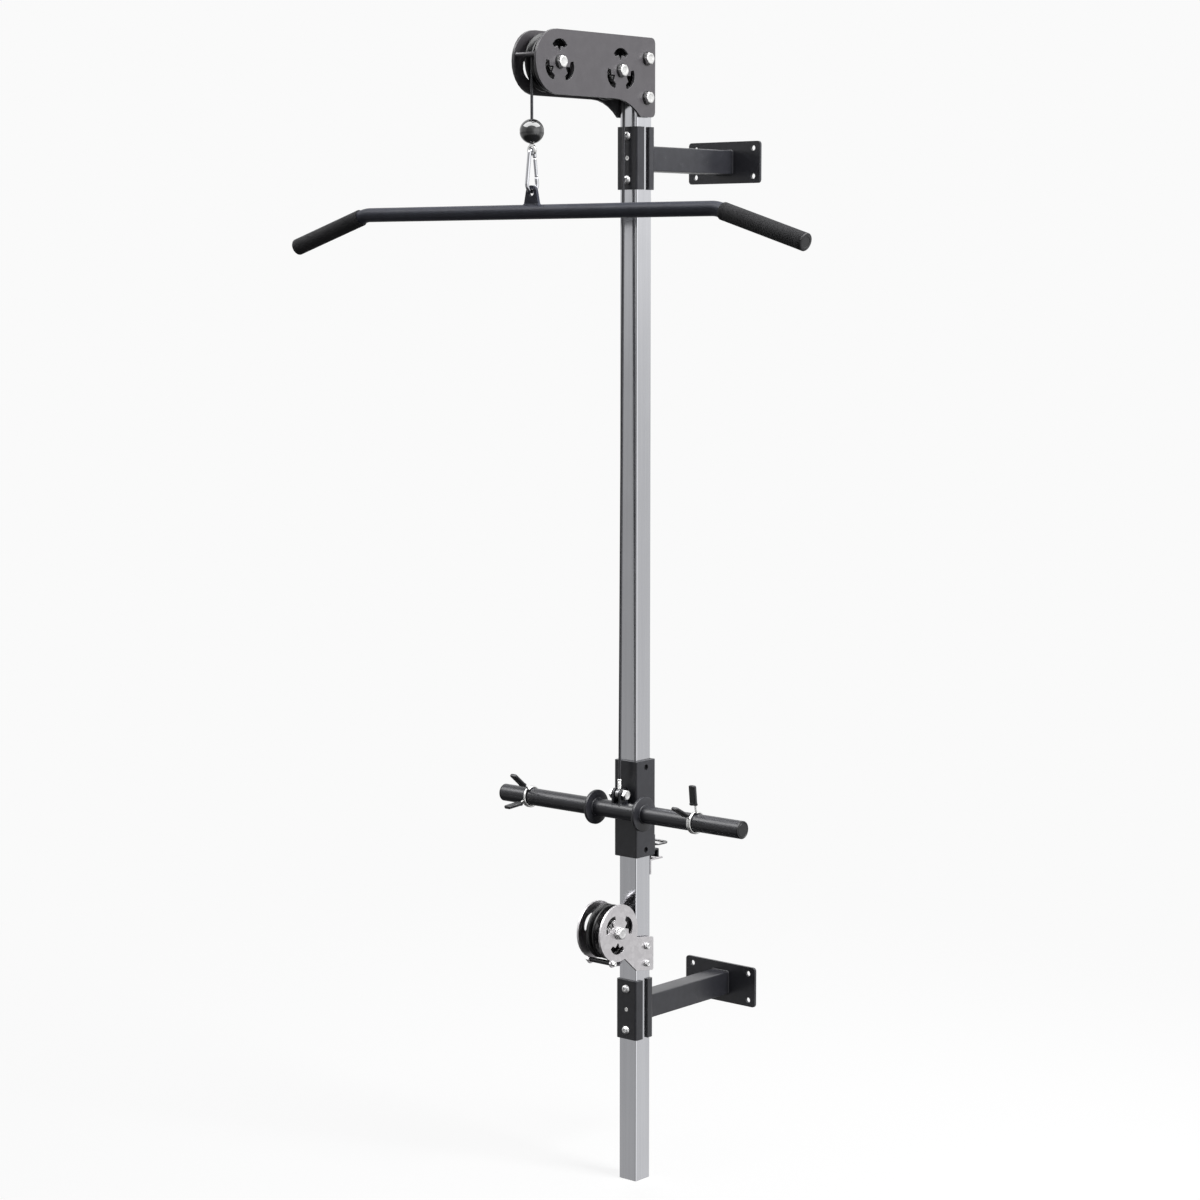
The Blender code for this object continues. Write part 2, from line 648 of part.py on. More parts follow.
# Head and low bracket plates
def cutouts(axle, first_angle):
    """The three bowed slots around an axle, each with a tooth that points at the axle."""
    slots = []
    for k in range(3):
        middle = first_angle + k * 2 * pi / 3

        def placed(reach, angle):
            return (axle[0] + reach * cos(middle + angle), axle[1] + reach * sin(middle + angle))

        bow = placed(CUTOUT_BOW_CENTRE, 0.0)
        outline = arc(bow, CUTOUT_BOW_RADIUS, middle - CUTOUT_BOW_ANGLE, middle + CUTOUT_BOW_ANGLE, 6)
        corners = [
            (CUTOUT_INNER, CUTOUT_TIP_ANGLE),
            (CUTOUT_INNER, CUTOUT_TOOTH_ANGLE),
            (CUTOUT_TOOTH, CUTOUT_POINT_ANGLE),
        ]
        outline += [placed(reach, angle) for reach, angle in corners]
        outline += [placed(reach, -angle) for reach, angle in reversed(corners)]
        slots.append(outline)
    return slots


def head_outline():
    end = (FRONT_AXLE_Y - HEAD_END_AHEAD, HEAD_AXLE_Z)
    top, bottom = HEAD_AXLE_Z + HEAD_END_RADIUS, HEAD_AXLE_Z - HEAD_END_RADIUS
    foot = bottom - HEAD_REAR_DROP
    sweep = acos(1 - HEAD_REAR_DROP / HEAD_SWEEP_RADIUS)
    toe = -POST_HALF
    sweep_centre = (toe - HEAD_SWEEP_RADIUS * sin(sweep), bottom - HEAD_SWEEP_RADIUS)
    points = arc(end, HEAD_END_RADIUS, pi / 2, 3 * pi / 2, 16)
    points += arc(sweep_centre, HEAD_SWEEP_RADIUS, pi / 2, pi / 2 - sweep, 5)
    corner_y = POST_HALF - HEAD_CORNER
    points += arc((corner_y, foot + HEAD_CORNER), HEAD_CORNER, -pi / 2, 0.0, 3)
    points += arc((corner_y, top - HEAD_CORNER), HEAD_CORNER, 0.0, pi / 2, 3)
    return points


def low_outline():
    axle = (LOW_AXLE_Y, LOW_AXLE_Z)
    lobe = (LOW_RETAINER_Y, LOW_RETAINER_Z)
    start = asin(LOW_TAIL_TOP / LOW_PLATE_RADIUS)
    distance, big, small = LOW_RETAINER_DISTANCE, LOW_PLATE_RADIUS, LOW_LOBE_RADIUS
    half = acos((distance**2 + big**2 - small**2) / (2 * distance * big))
    turn = pi - acos((distance**2 + small**2 - big**2) / (2 * distance * small))
    points = arc(axle, big, start, LOW_RETAINER_ANGLE - half, 22)
    points += arc(lobe, small, LOW_RETAINER_ANGLE - turn, LOW_RETAINER_ANGLE + turn, 6)[1:-1]
    points += arc(axle, big, LOW_RETAINER_ANGLE + half, LOW_LEAVE_ANGLE, 3)
    back, corner = POST_HALF, LOW_TAIL_CORNER
    neck_bottom = LOW_AXLE_Z + LOW_TAIL_BOTTOM
    bottom, top = neck_bottom - LOW_TAIL_SLOPE, LOW_AXLE_Z + LOW_TAIL_TOP - LOW_TAIL_SLOPE
    points.append((LOW_AXLE_Y + LOW_TAIL_NECK, neck_bottom))
    points += arc((back - corner, bottom + corner), corner, -pi / 2, 0.0, 2)
    points += arc((back - corner, top - corner), corner, 0.0, pi / 2, 2)
    return points


def make_plates():
    front, rear = (FRONT_AXLE_Y, HEAD_AXLE_Z), (REAR_AXLE_Y, REAR_AXLE_Z)
    holes = [circle(axle, M12_RADIUS + BOLT_PLAY) for axle in (front, rear)]
    holes += [circle((HEAD_BOLT_Y, height), M12_RADIUS + BOLT_PLAY) for height in HEAD_BOLT_HEIGHTS]
    slots = cutouts(front, HEAD_CUTOUT_TURN) + cutouts(rear, HEAD_CUTOUT_TURN)
    for name, near, far in (("left", -HEAD_OUTER_X, -HEAD_INNER_X), ("right", HEAD_INNER_X, HEAD_OUTER_X)):
        plate = prism([head_outline(), *holes, *slots], "X", near, far)
        solid(f"head_plate_{name}", plate, GREY_PAINT, (near, 0.0, HEAD_AXLE_Z))

    axle = (LOW_AXLE_Y, LOW_AXLE_Z)
    holes = [circle(axle, M12_RADIUS + BOLT_PLAY)]
    holes.append(circle((LOW_RETAINER_Y, LOW_RETAINER_Z), M5_RADIUS + BOLT_PLAY))
    holes += [circle((0.0, height), M6_RADIUS + BOLT_PLAY) for height in LOW_BOLT_HEIGHTS]
    slots = cutouts(axle, LOW_CUTOUT_TURN)
    for name, near, far in (("left", -LOW_OUTER_X, -LOW_INNER_X), ("right", LOW_INNER_X, LOW_OUTER_X)):
        plate = prism([low_outline(), *holes, *slots], "X", near, far)
        solid(f"low_plate_{name}", plate, ZINC, (near, 0.0, LOW_AXLE_Z))


def make_plate_fasteners():
    m5 = (M5_RADIUS, M5_FLATS, M5_HEAD)
    m6 = (M6_RADIUS, M6_FLATS, M6_HEAD)
    m12 = (M12_RADIUS, M12_FLATS, M12_HEAD)
    for name, inner, outer, size, y, heights in (
        ("head", HEAD_INNER_X, HEAD_OUTER_X, m12, HEAD_BOLT_Y, HEAD_BOLT_HEIGHTS),
        ("low", LOW_INNER_X, LOW_OUTER_X, m6, 0.0, LOW_BOLT_HEIGHTS),
    ):
        near, far = POST_HALF + GAP, inner - GAP
        shims = [(far, near, SHIM_RADIUS), (-near, -far, SHIM_RADIUS)]
        for place, height in zip(("upper", "lower"), heights):
            fastener = cross_bolt(outer, size, (y, height), shims)
            solid(f"{name}_bolt_{place}", fastener, ZINC, (0.0, y, height))

    near = PULLEY_WIDTH / 2 + GAP
    for name, inner, outer, y, z in (
        ("front_axle", HEAD_INNER_X, HEAD_OUTER_X, FRONT_AXLE_Y, HEAD_AXLE_Z),
        ("rear_axle", HEAD_INNER_X, HEAD_OUTER_X, REAR_AXLE_Y, REAR_AXLE_Z),
        ("low_axle", LOW_INNER_X, LOW_OUTER_X, LOW_AXLE_Y, LOW_AXLE_Z),
    ):
        far = inner - GAP
        spacers = [(far, near, AXLE_SPACER_RADIUS), (-near, -far, AXLE_SPACER_RADIUS)]
        solid(name, cross_bolt(outer, m12, (y, z), spacers), ZINC, (0.0, y, z))

    retainer = (FRONT_AXLE_Y - RETAINER_OUT, HEAD_AXLE_Z + RETAINER_ABOVE)
    reach = HEAD_INNER_X - GAP
    bar = turned([(-reach, RETAINER_RADIUS), (reach, RETAINER_RADIUS)], "X", SIDES, False, retainer)
    solid("head_cable_retainer", bar, GREY_PAINT, (0.0, *retainer))
    low_retainer = (LOW_RETAINER_Y, LOW_RETAINER_Z)
    solid("low_retainer_bolt", cross_bolt(LOW_OUTER_X, m5, low_retainer), ZINC, (0.0, *low_retainer))
    reach = LOW_INNER_X - GAP
    sleeve = tube("X", -reach, reach, LOW_SLEEVE_RADIUS, M5_RADIUS + GAP, SIDES, low_retainer)
    solid("low_retainer_sleeve", sleeve, NYLON, (0.0, *low_retainer))


# Pulleys
def make_pulley(name, y, z):
    pivot = empty(f"{name}_pivot", (0.0, y, z))
    half = PULLEY_WIDTH / 2
    bottom = PULLEY_PITCH_RADIUS - CABLE_RADIUS - GAP
    seat = BEARING_RADIUS + GAP
    profile = [
        (-half, PULLEY_RADIUS),
        (-half + PULLEY_RIM, PULLEY_RADIUS),
        (-CABLE_RADIUS, bottom),
        (CABLE_RADIUS, bottom),
        (half - PULLEY_RIM, PULLEY_RADIUS),
        (half, PULLEY_RADIUS),
        (half, seat),
        (-half, seat),
    ]
    wheel = turned(profile, "X", PULLEY_SIDES, True, (y, z))
    solid(name, wheel, NYLON, (0.0, y, z), pivot)
    bore = M12_RADIUS + RUNNING_PLAY
    bearing = tube("X", -half, half, BEARING_RADIUS, bore, PULLEY_SIDES, (y, z))
    solid(f"{name}_bearing", bearing, STEEL, (0.0, y, z), pivot)


# Cable
def make_cable(line, carriage):
    front, rear = (FRONT_AXLE_Y, HEAD_AXLE_Z), (REAR_AXLE_Y, REAR_AXLE_Z)
    crown = pi / 2 - atan2(REAR_AXLE_DROP, REAR_AXLE_Y - FRONT_AXLE_Y)
    over = arc(front, PULLEY_PITCH_RADIUS, pi, crown, 9) + arc(rear, PULLEY_PITCH_RADIUS, crown, 0.0, 9)
    wire("cable_over_pulleys", [(0.0, y, z) for y, z in over], CABLE_RADIUS, COATING)
    front_end = (0.0, LAT_BAR_Y, HEAD_AXLE_Z - GAP)
    neck_top = BALL_CENTRE_Z - BALL_RADIUS + GAP
    drop = [front_end, (0.0, LAT_BAR_Y, neck_top)]
    wire("cable_front_drop", drop, CABLE_RADIUS, COATING, front_end, line)
    rear_end = (0.0, REAR_CABLE_Y, REAR_AXLE_Z - GAP)
    terminal_top = EAR_BOLT_Z + TERMINAL_EYE_RADIUS + TERMINAL_STEM_LENGTH
    drop = [rear_end, (0.0, LOAD_BAR_Y, terminal_top + 2 * GAP)]
    wire("cable_rear_drop", drop, CABLE_RADIUS, COATING, rear_end, carriage)


# Ball stop, eye, carabiner and lat bar
def make_ball(line):
    bore = CABLE_RADIUS + GAP
    reach = sqrt(BALL_RADIUS**2 - bore**2)
    start = acos(reach / BALL_RADIUS)
    steps = 10
    profile = []
    for k in range(steps + 1):
        angle = start + (pi - 2 * start) * k / steps
        profile.append((BALL_CENTRE_Z + BALL_RADIUS * cos(angle), BALL_RADIUS * sin(angle)))
    ball = turned(profile, "Z", 16, True, (0.0, LAT_BAR_Y))
    solid("ball_stop", ball, RUBBER, (0.0, LAT_BAR_Y, BALL_CENTRE_Z), line)


def make_eye(swivel):
    neck_top = BALL_CENTRE_Z - BALL_RADIUS
    half_neck = EYE_NECK_WIDTH / 2
    lean = asin(half_neck / EYE_RADIUS)
    outline = arc((0.0, EYE_Z), EYE_RADIUS, pi / 2 + lean, 5 * pi / 2 - lean, 18)
    outline += [(half_neck, neck_top), (-half_neck, neck_top)]
    hole = circle((0.0, EYE_Z), EYE_HOLE_RADIUS, 14)
    low = LAT_BAR_Y - EYE_THICKNESS / 2
    plate = prism([outline, hole], "Y", low, low + EYE_THICKNESS)
    solid("cable_eye", plate, ZINC, (0.0, LAT_BAR_Y, neck_top), swivel)


def carabiner_line():
    """The closed centre line of the carabiner in the YZ plane, about its lowest point."""
    small, large = CARABINER_TOP_RADIUS, CARABINER_BOTTOM_RADIUS
    apart = CARABINER_HEIGHT - small - large
    lean = asin((large - small) / apart)
    top_centre, bottom_centre = (0.0, CARABINER_HEIGHT - small), (0.0, large)
    return top_centre, bottom_centre, small, large, lean


def make_carabiner(pivot):
    top_centre, bottom_centre, small, large, lean = carabiner_line()
    low = HANG_Z
    side_top = (small * cos(lean), top_centre[1] + small * sin(lean))
    side_bottom = (large * cos(lean), bottom_centre[1] + large * sin(lean))
    length = hypot(side_top[0] - side_bottom[0], side_top[1] - side_bottom[1])
    along = ((side_bottom[0] - side_top[0]) / length, (side_bottom[1] - side_top[1]) / length)

    def on_side(distance):
        return (side_top[0] + along[0] * distance, side_top[1] + along[1] * distance)

    hinge_end = on_side(GATE_TOP_INSET - CARABINER_TOP_RADIUS)
    nose_end = on_side(length - GATE_BOTTOM_INSET + CARABINER_BOTTOM_RADIUS)
    flat = [hinge_end] + arc(top_centre, small, lean, pi - lean, 8)
    flat += arc(bottom_centre, large, pi - lean, 2 * pi + lean, 14)
    flat.append(nose_end)
    path = [(0.0, LAT_BAR_Y + y, low + z) for y, z in flat]
    at = (0.0, LAT_BAR_Y, EYE_Z)
    wire("carabiner_body", path, CARABINER_WIRE_RADIUS, ZINC, at, pivot)

    top = on_side(GATE_TOP_INSET - CARABINER_TOP_RADIUS + GATE_HINGE_GAP)
    bottom = on_side(length - GATE_BOTTOM_INSET + CARABINER_BOTTOM_RADIUS - GATE_NOSE_GAP)
    print(f"gate hinge: Y {LAT_BAR_Y + top[0]:.6f}, Z {low + top[1]:.6f}")
    gate_at = (0.0, LAT_BAR_Y + top[0], low + top[1])
    hinge = empty("carabiner_gate_pivot", Vector(gate_at) - world_place(pivot))
    hinge.parent = pivot
    gate = [(0.0, LAT_BAR_Y + y, low + z) for y, z in (top, bottom)]
    wire("carabiner_gate", gate, GATE_RADIUS, ZINC, gate_at, hinge)


def lat_path(half_length):
    """The bar's centre line from its left wing to its right wing, down to a given wing length."""
    across = LAT_STRAIGHT_HALF + half_length * cos(LAT_WING_ANGLE)
    down = LAT_BAR_Z - half_length * sin(LAT_WING_ANGLE)
    corners = [
        (-across, LAT_BAR_Y, down),
        (-LAT_STRAIGHT_HALF, LAT_BAR_Y, LAT_BAR_Z),
        (LAT_STRAIGHT_HALF, LAT_BAR_Y, LAT_BAR_Z),
        (across, LAT_BAR_Y, down),
    ]
    return rounded_path(corners, LAT_BEND_RADIUS, 4)


def path_rings(path, radius, sides):
    rings = []
    for k, place in enumerate(path):
        tangent = (path[min(k + 1, len(path) - 1)] - path[max(k - 1, 0)]).normalized()
        across = Vector((0.0, 1.0, 0.0))
        upright = tangent.cross(across)
        turns = [2 * pi * n / sides for n in range(sides)]
        rings.append([place + radius * (across * cos(a) + upright * sin(a)) for a in turns])
    return rings


def wing_rings(side, levels, sides=LAT_SIDES):
    """Rings square to one wing, from (distance along the wing from its bend, radius) pairs."""
    direction = Vector((side * cos(LAT_WING_ANGLE), 0.0, -sin(LAT_WING_ANGLE)))
    bend = Vector((side * LAT_STRAIGHT_HALF, LAT_BAR_Y, LAT_BAR_Z))
    across = Vector((0.0, 1.0, 0.0))
    upright = direction.cross(across)
    turns = [2 * pi * n / sides for n in range(sides)]
    return [
        [bend + direction * along + radius * (across * cos(a) + upright * sin(a)) for a in turns]
        for along, radius in levels
    ]


def make_lat_bar(pivot):
    at = (0.0, LAT_BAR_Y, HANG_Z)
    inner_radius = LAT_TUBE_RADIUS - LAT_TUBE_WALL
    path = lat_path(LAT_WING_LENGTH)
    rings = path_rings(path, LAT_TUBE_RADIUS, LAT_SIDES) + path_rings(path, inner_radius, LAT_SIDES)[::-1]
    bar = solid("lat_bar", loft(rings, closed=True), BLUE_GREY_PAINT, at, pivot)

    hole = (0.0, LUG_HOLE_Z)
    foot = LAT_BAR_Z + LAT_TUBE_RADIUS - LUG_SUNK
    half_base = LUG_BASE_WIDTH / 2
    outline = arc(hole, LUG_TOP_RADIUS, radians(10), radians(170), 8)
    outline += [(-half_base, foot), (half_base, foot)]
    low = LAT_BAR_Y - LUG_THICKNESS / 2
    weld(bar, [prism([outline, circle(hole, LUG_HOLE_RADIUS)], "Y", low, low + LUG_THICKNESS)])

    bore = LAT_TUBE_RADIUS + GAP
    grip_start = LAT_WING_LENGTH - GRIP_LENGTH
    face = LAT_WING_LENGTH + GAP
    for name, side in (("left", -1), ("right", 1)):
        levels = [
            (grip_start, bore),
            (grip_start, GRIP_RADIUS - GRIP_SOFT_EDGE),
            (grip_start + GRIP_SOFT_EDGE, GRIP_RADIUS),
            (LAT_WING_LENGTH, GRIP_RADIUS),
            (LAT_WING_LENGTH, bore),
        ]
        solid(f"lat_grip_{name}", loft(wing_rings(side, levels), closed=True), RUBBER, at, pivot)
        levels = [
            (LAT_WING_LENGTH - END_CAP_PLUG, inner_radius - GAP),
            (face, inner_radius - GAP),
            (face, GRIP_RADIUS),
            (face + END_CAP_THICKNESS - END_CAP_EDGE, GRIP_RADIUS),
            (face + END_CAP_THICKNESS, GRIP_RADIUS - END_CAP_EDGE),
        ]
        solid(f"lat_cap_{name}", loft(wing_rings(side, levels)), NYLON, at, pivot)


# Weight carriage
def make_carriage(carriage):
    at = (0.0, 0.0, CARRIAGE_BOTTOM)
    inner_half = CARRIAGE_HALF - CARRIAGE_WALL
    outer = rounded_rectangle(CARRIAGE_HALF, CARRIAGE_HALF, CARRIAGE_CORNER)
    inner = rounded_rectangle(inner_half, inner_half, TUBE_INNER_CORNER, 1)
    tube_shape = prism([outer, inner], "Z", CARRIAGE_BOTTOM, CARRIAGE_TOP)
    sleeve = solid("carriage_sleeve", tube_shape, BLACK_PAINT, at, carriage)
    reach, inside = CARRIAGE_HALF + DRILL_PAST, POST_HALF + GAP
    holes = []
    for height in (CARRIAGE_BOTTOM + BUTTON_HOLE_INSET, CARRIAGE_TOP - BUTTON_HOLE_INSET):
        for low, high in ((-reach, -inside), (inside, reach)):
            holes.append(drill("X", low, high, BUTTON_HOLE_RADIUS, (0.0, height)))
    pin_hole = LOCK_PIN_RADIUS + BOLT_PLAY
    holes.append(drill("Y", inside, reach, pin_hole, (0.0, LOCK_PIN_Z)))
    cut(sleeve, holes)

    outside, inside = inner_half - GAP, POST_HALF + GAP
    ring_outer = rounded_rectangle(outside, outside, TUBE_INNER_CORNER, 1)
    ring_inner = rounded_rectangle(inside, inside, TUBE_INNER_CORNER, 1)
    liner = prism([ring_outer, ring_inner], "Z", CARRIAGE_BOTTOM, CARRIAGE_TOP)
    liner = solid("carriage_liner", liner, NYLON, at, carriage)
    cut(liner, [drill("Y", 0.0, reach, pin_hole, (0.0, LOCK_PIN_Z))])


def make_load_bar(carriage):
    """The crossbar for weight plates, with its two flanges and the two ears that hold the cable."""
    centre = (LOAD_BAR_Y, LOAD_BAR_Z)
    at = (0.0, *centre)
    tube_end = LOAD_BAR_HALF - END_CAP_THICKNESS - GAP
    bar_inner = LOAD_BAR_RADIUS - LOAD_BAR_WALL
    bar = tube("X", -tube_end, tube_end, LOAD_BAR_RADIUS, bar_inner, FINE_SIDES, centre)
    bar = solid("load_bar", bar, BLACK_PAINT, at, carriage)
    sunk = LOAD_BAR_RADIUS - WELD_DEPTH
    half_width, half_plate = EAR_WIDTH / 2, EAR_THICKNESS / 2
    bolt_centre = (LOAD_BAR_Y, EAR_BOLT_Z)
    ear = arc(bolt_centre, half_width, 0.0, pi, 8)
    for k in range(7):
        across = half_width * (k / 3 - 1)
        ear.append((LOAD_BAR_Y + across, LOAD_BAR_Z + sqrt(sunk**2 - across**2)))
    parts = []
    for side in (-1, 1):
        middle = side * FLANGE_OFFSET
        low, high = middle - FLANGE_THICKNESS / 2, middle + FLANGE_THICKNESS / 2
        parts.append(tube("X", low, high, FLANGE_RADIUS, sunk, FINE_SIDES, centre))
        middle = side * EAR_SPACING / 2
        hole = circle(bolt_centre, M10_RADIUS + BOLT_PLAY)
        parts.append(prism([ear, hole], "X", middle - half_plate, middle + half_plate))
    weld(bar, parts)

    for name, side in (("left", -1), ("right", 1)):
        profile = [
            (side * (tube_end - END_CAP_PLUG), bar_inner - GAP),
            (side * (tube_end + GAP), bar_inner - GAP),
            (side * (tube_end + GAP), LOAD_BAR_RADIUS),
            (side * (LOAD_BAR_HALF - END_CAP_EDGE), LOAD_BAR_RADIUS),
            (side * LOAD_BAR_HALF, LOAD_BAR_RADIUS - END_CAP_EDGE),
        ]
        cap = turned(profile, "X", FINE_SIDES, False, centre)
        solid(f"load_cap_{name}", cap, NYLON, (side * tube_end, *centre), carriage)


def make_cable_anchor(carriage):
    centre = (LOAD_BAR_Y, EAR_BOLT_Z)
    at = (0.0, *centre)
    outside = (EAR_SPACING + EAR_THICKNESS) / 2
    ear_bolt = cross_bolt(outside, (M10_RADIUS, M10_FLATS, M10_HEAD), centre)
    solid("cable_ear_bolt", ear_bolt, ZINC, at, carriage)
    stem, eye = TERMINAL_STEM_RADIUS, TERMINAL_EYE_RADIUS
    top = EAR_BOLT_Z + eye + TERMINAL_STEM_LENGTH
    lean = asin(stem / eye)
    outline = arc(centre, eye, pi / 2 + lean, 5 * pi / 2 - lean, 18)
    outline += [(LOAD_BAR_Y + stem, top), (LOAD_BAR_Y - stem, top)]
    half = TERMINAL_THICKNESS / 2
    terminal = prism([outline, circle(centre, M10_RADIUS + GAP)], "X", -half, half)
    solid("cable_terminal", terminal, ZINC, at, carriage)


# Spring collars
def make_collar(name, x, roots, leans, carriage):
    """A wound wire that grips the bar. Its two ends are looped handles, each in a plastic grip."""
    centre = Vector((x, LOAD_BAR_Y, LOAD_BAR_Z))
    slide = empty(f"{name}_slide", centre - world_place(carriage))
    slide.parent = carriage
    radius = LOAD_BAR_RADIUS + COLLAR_WIRE_RADIUS + GAP
    legs_apart = 2 * COLLAR_WIRE_RADIUS + COLLAR_LEG_GAP
    turned_by = roots[1] - roots[0] + 2 * pi * COLLAR_TURNS
    half_run = COLLAR_PITCH * turned_by / (4 * pi)
    steps = ceil(turned_by / (2 * pi) * 16)
    coil = []
    for k in range(steps + 1):
        angle = roots[0] + turned_by * k / steps
        outward = Vector((0.0, cos(angle), sin(angle)))
        coil.append(centre + outward * radius + Vector((half_run * (2 * k / steps - 1), 0.0, 0.0)))

    def handle(end):
        """The path of one handle, out from the coil and back beside itself, and its frame."""
        side = 2 * end - 1
        root, lean = roots[end], leans[end]
        outward = Vector((0.0, cos(root), sin(root)))
        base = centre + outward * (radius + COLLAR_RISE) + Vector((half_run * side, 0.0, 0.0))
        direction = Vector((0.0, cos(root + lean), sin(root + lean)))
        beside = Vector((-side, 0.0, 0.0))
        tip = base + direction * COLLAR_HANDLE_REACH
        back = tip + beside * legs_apart - direction * (COLLAR_GRIP_LENGTH - COLLAR_WIRE_RADIUS)
        bend = rounded_path([base, tip, tip + beside * legs_apart, back], legs_apart * HAIRPIN_SHARE, 3)
        return bend, (base + beside * legs_apart / 2, direction, beside)

    first, first_frame = handle(0)
    last, last_frame = handle(1)
    path = first[::-1] + coil + last
    print(f"{name}: least gap {least_gap(path, COLLAR_WIRE_RADIUS) * 1000:.2f} mm")
    wire(f"{name}_spring", path, COLLAR_WIRE_RADIUS, ZINC, centre, slide, fineness=1)

    inner = (legs_apart / 2 + COLLAR_WIRE_RADIUS + GAP, COLLAR_WIRE_RADIUS + GAP)
    outer = (inner[0] + COLLAR_GRIP_WALL, inner[1] + COLLAR_GRIP_WALL)
    pocket = COLLAR_HANDLE_REACH + COLLAR_WIRE_RADIUS + GAP
    end = pocket + COLLAR_GRIP_WALL
    start = end - COLLAR_GRIP_LENGTH
    levels = [(end, outer, COLLAR_GRIP_END_SHARE), (end - COLLAR_GRIP_WALL, outer, 1.0), (start, outer, 1.0)]
    levels += [(start, inner, 1.0), (pocket, inner, 1.0)]
    for place, frame in (("low", first_frame), ("high", last_frame)):
        base, direction, beside = frame
        flat = direction.cross(beside).normalized()
        side = flat.cross(direction)
        rings = []
        for along, (half_wide, half_thick), share in levels:
            corner = half_thick * share * COLLAR_GRIP_CORNER_SHARE
            shape = rounded_rectangle(half_wide * share, half_thick * share, corner, 2)
            rings.append([base + direction * along + side * u + flat * v for u, v in shape])
        solid(f"{name}_grip_{place}", loft(rings), RUBBER, centre, slide)


# Parking stop behind the post, and the lock on the carriage
def make_stop():
    back = POST_HALF + GAP
    top = STOP_TOP
    outline = [
        (back, top - STOP_LEG),
        (back + STOP_THICKNESS, top - STOP_LEG),
        (back + STOP_THICKNESS, top - STOP_THICKNESS),
        (back + STOP_REACH, top - STOP_THICKNESS),
        (back + STOP_REACH, top),
        (back, top),
    ]
    stop = prism([outline], "X", -STOP_HALF_WIDTH, STOP_HALF_WIDTH)
    stop = solid("stop_bracket", stop, ZINC, (0.0, back, top))
    face = back + STOP_THICKNESS
    rows = [
        (face + M6_HEAD, M6_FLATS * HEX_FACE_SHARE, False),
        (face + M6_HEAD * (1 - HEX_CHAMFER_SHARE), M6_FLATS, True),
        (face - WELD_DEPTH, M6_FLATS, True),
        (face - WELD_DEPTH, M6_RADIUS, False),
        (POST_HALF - POST_WALL - THREAD_PROUD, M6_RADIUS, False),
    ]
    weld(stop, [stack("Y", rows, (0.0, STOP_SCREW_Z))])

    inner = CARRIAGE_HALF - CARRIAGE_WALL
    middle = (0.0, inner + BUMPER_DEPTH / 2)
    outline = rounded_rectangle(BUMPER_HALF_WIDTH, BUMPER_DEPTH / 2, BUMPER_CORNER, 2, middle)
    bumper = prism([outline], "Z", top + GAP, top + GAP + BUMPER_THICKNESS)
    solid("stop_bumper", bumper, RUBBER, (0.0, inner, top))


def make_lock(carriage):
    face = CARRIAGE_HALF + GAP
    outside = face + LATCH_DEPTH
    bottom = CARRIAGE_BOTTOM - LATCH_DROP
    step, top = CARRIAGE_BOTTOM + LATCH_STEP, CARRIAGE_BOTTOM + LATCH_HEIGHT
    seat = face + LATCH_PLATE
    outline = [
        (face, top),
        (seat, top),
        (seat, step),
        (outside - LATCH_PLATE / 2, step),
        (outside, step - LATCH_PLATE / 2),
        (outside, bottom),
        (outside - LATCH_PLATE, bottom),
        (outside - LATCH_PLATE, step - LATCH_PLATE),
        (face, step - LATCH_PLATE),
    ]
    half = CARRIAGE_HALF - CARRIAGE_CORNER
    bracket = prism([outline], "X", -half, half)
    bracket = solid("latch_bracket", bracket, BLACK_PAINT, (0.0, face, bottom), carriage)
    hole = LOCK_PIN_RADIUS + BOLT_PLAY
    cut(bracket, [drill("Y", CARRIAGE_HALF, outside, hole, (0.0, LOCK_PIN_Z))])

    head = seat + GAP
    at = Vector((0.0, head, LOCK_PIN_Z))
    pivot = empty("lock_pin_slide", at - world_place(carriage))
    pivot.parent = carriage
    tip = POST_HALF + GAP
    head_end = head + LOCK_HEAD_LENGTH
    profile = [
        (tip, LOCK_TIP_RADIUS),
        (tip + LOCK_TIP_LENGTH, LOCK_PIN_RADIUS),
        (head, LOCK_PIN_RADIUS),
        (head, LOCK_HEAD_RADIUS),
        (head_end, LOCK_HEAD_RADIUS),
    ]
    pin = solid("lock_pin", turned(profile, "Y", SIDES, False, (0.0, LOCK_PIN_Z)), ZINC, at, pivot)

    near = head_end - HANDLE_SUNK
    far = head_end + HANDLE_REACH
    loop = rounded_rectangle(HANDLE_HALF_WIDTH, (far - near) / 2, HANDLE_CORNER, 4, (0.0, (near + far) / 2))
    sections = []
    count = len(loop)
    for k, (across, depth) in enumerate(loop):
        before, after = loop[k - 1], loop[(k + 1) % count]
        run = Vector((after[0] - before[0], after[1] - before[1], 0.0)).normalized()
        outward = Vector((run.y, -run.x, 0.0))
        spot = Vector((across, depth, LOCK_PIN_Z))
        turns = [2 * pi * n / 8 for n in range(8)]
        sections.append(
            [spot + HANDLE_WIRE_RADIUS * (outward * cos(a) + Vector((0.0, 0.0, sin(a)))) for a in turns]
        )
    weld(pin, [loft(sections, closed=True)])


# The whole tower
make_post()
make_bracket("upper", UPPER_CLAMP_Z)
make_bracket("lower", LOWER_CLAMP_Z)
make_plates()
make_plate_fasteners()
make_pulley("front_pulley", FRONT_AXLE_Y, HEAD_AXLE_Z)
make_pulley("rear_pulley", REAR_AXLE_Y, REAR_AXLE_Z)
make_pulley("low_pulley", LOW_AXLE_Y, LOW_AXLE_Z)

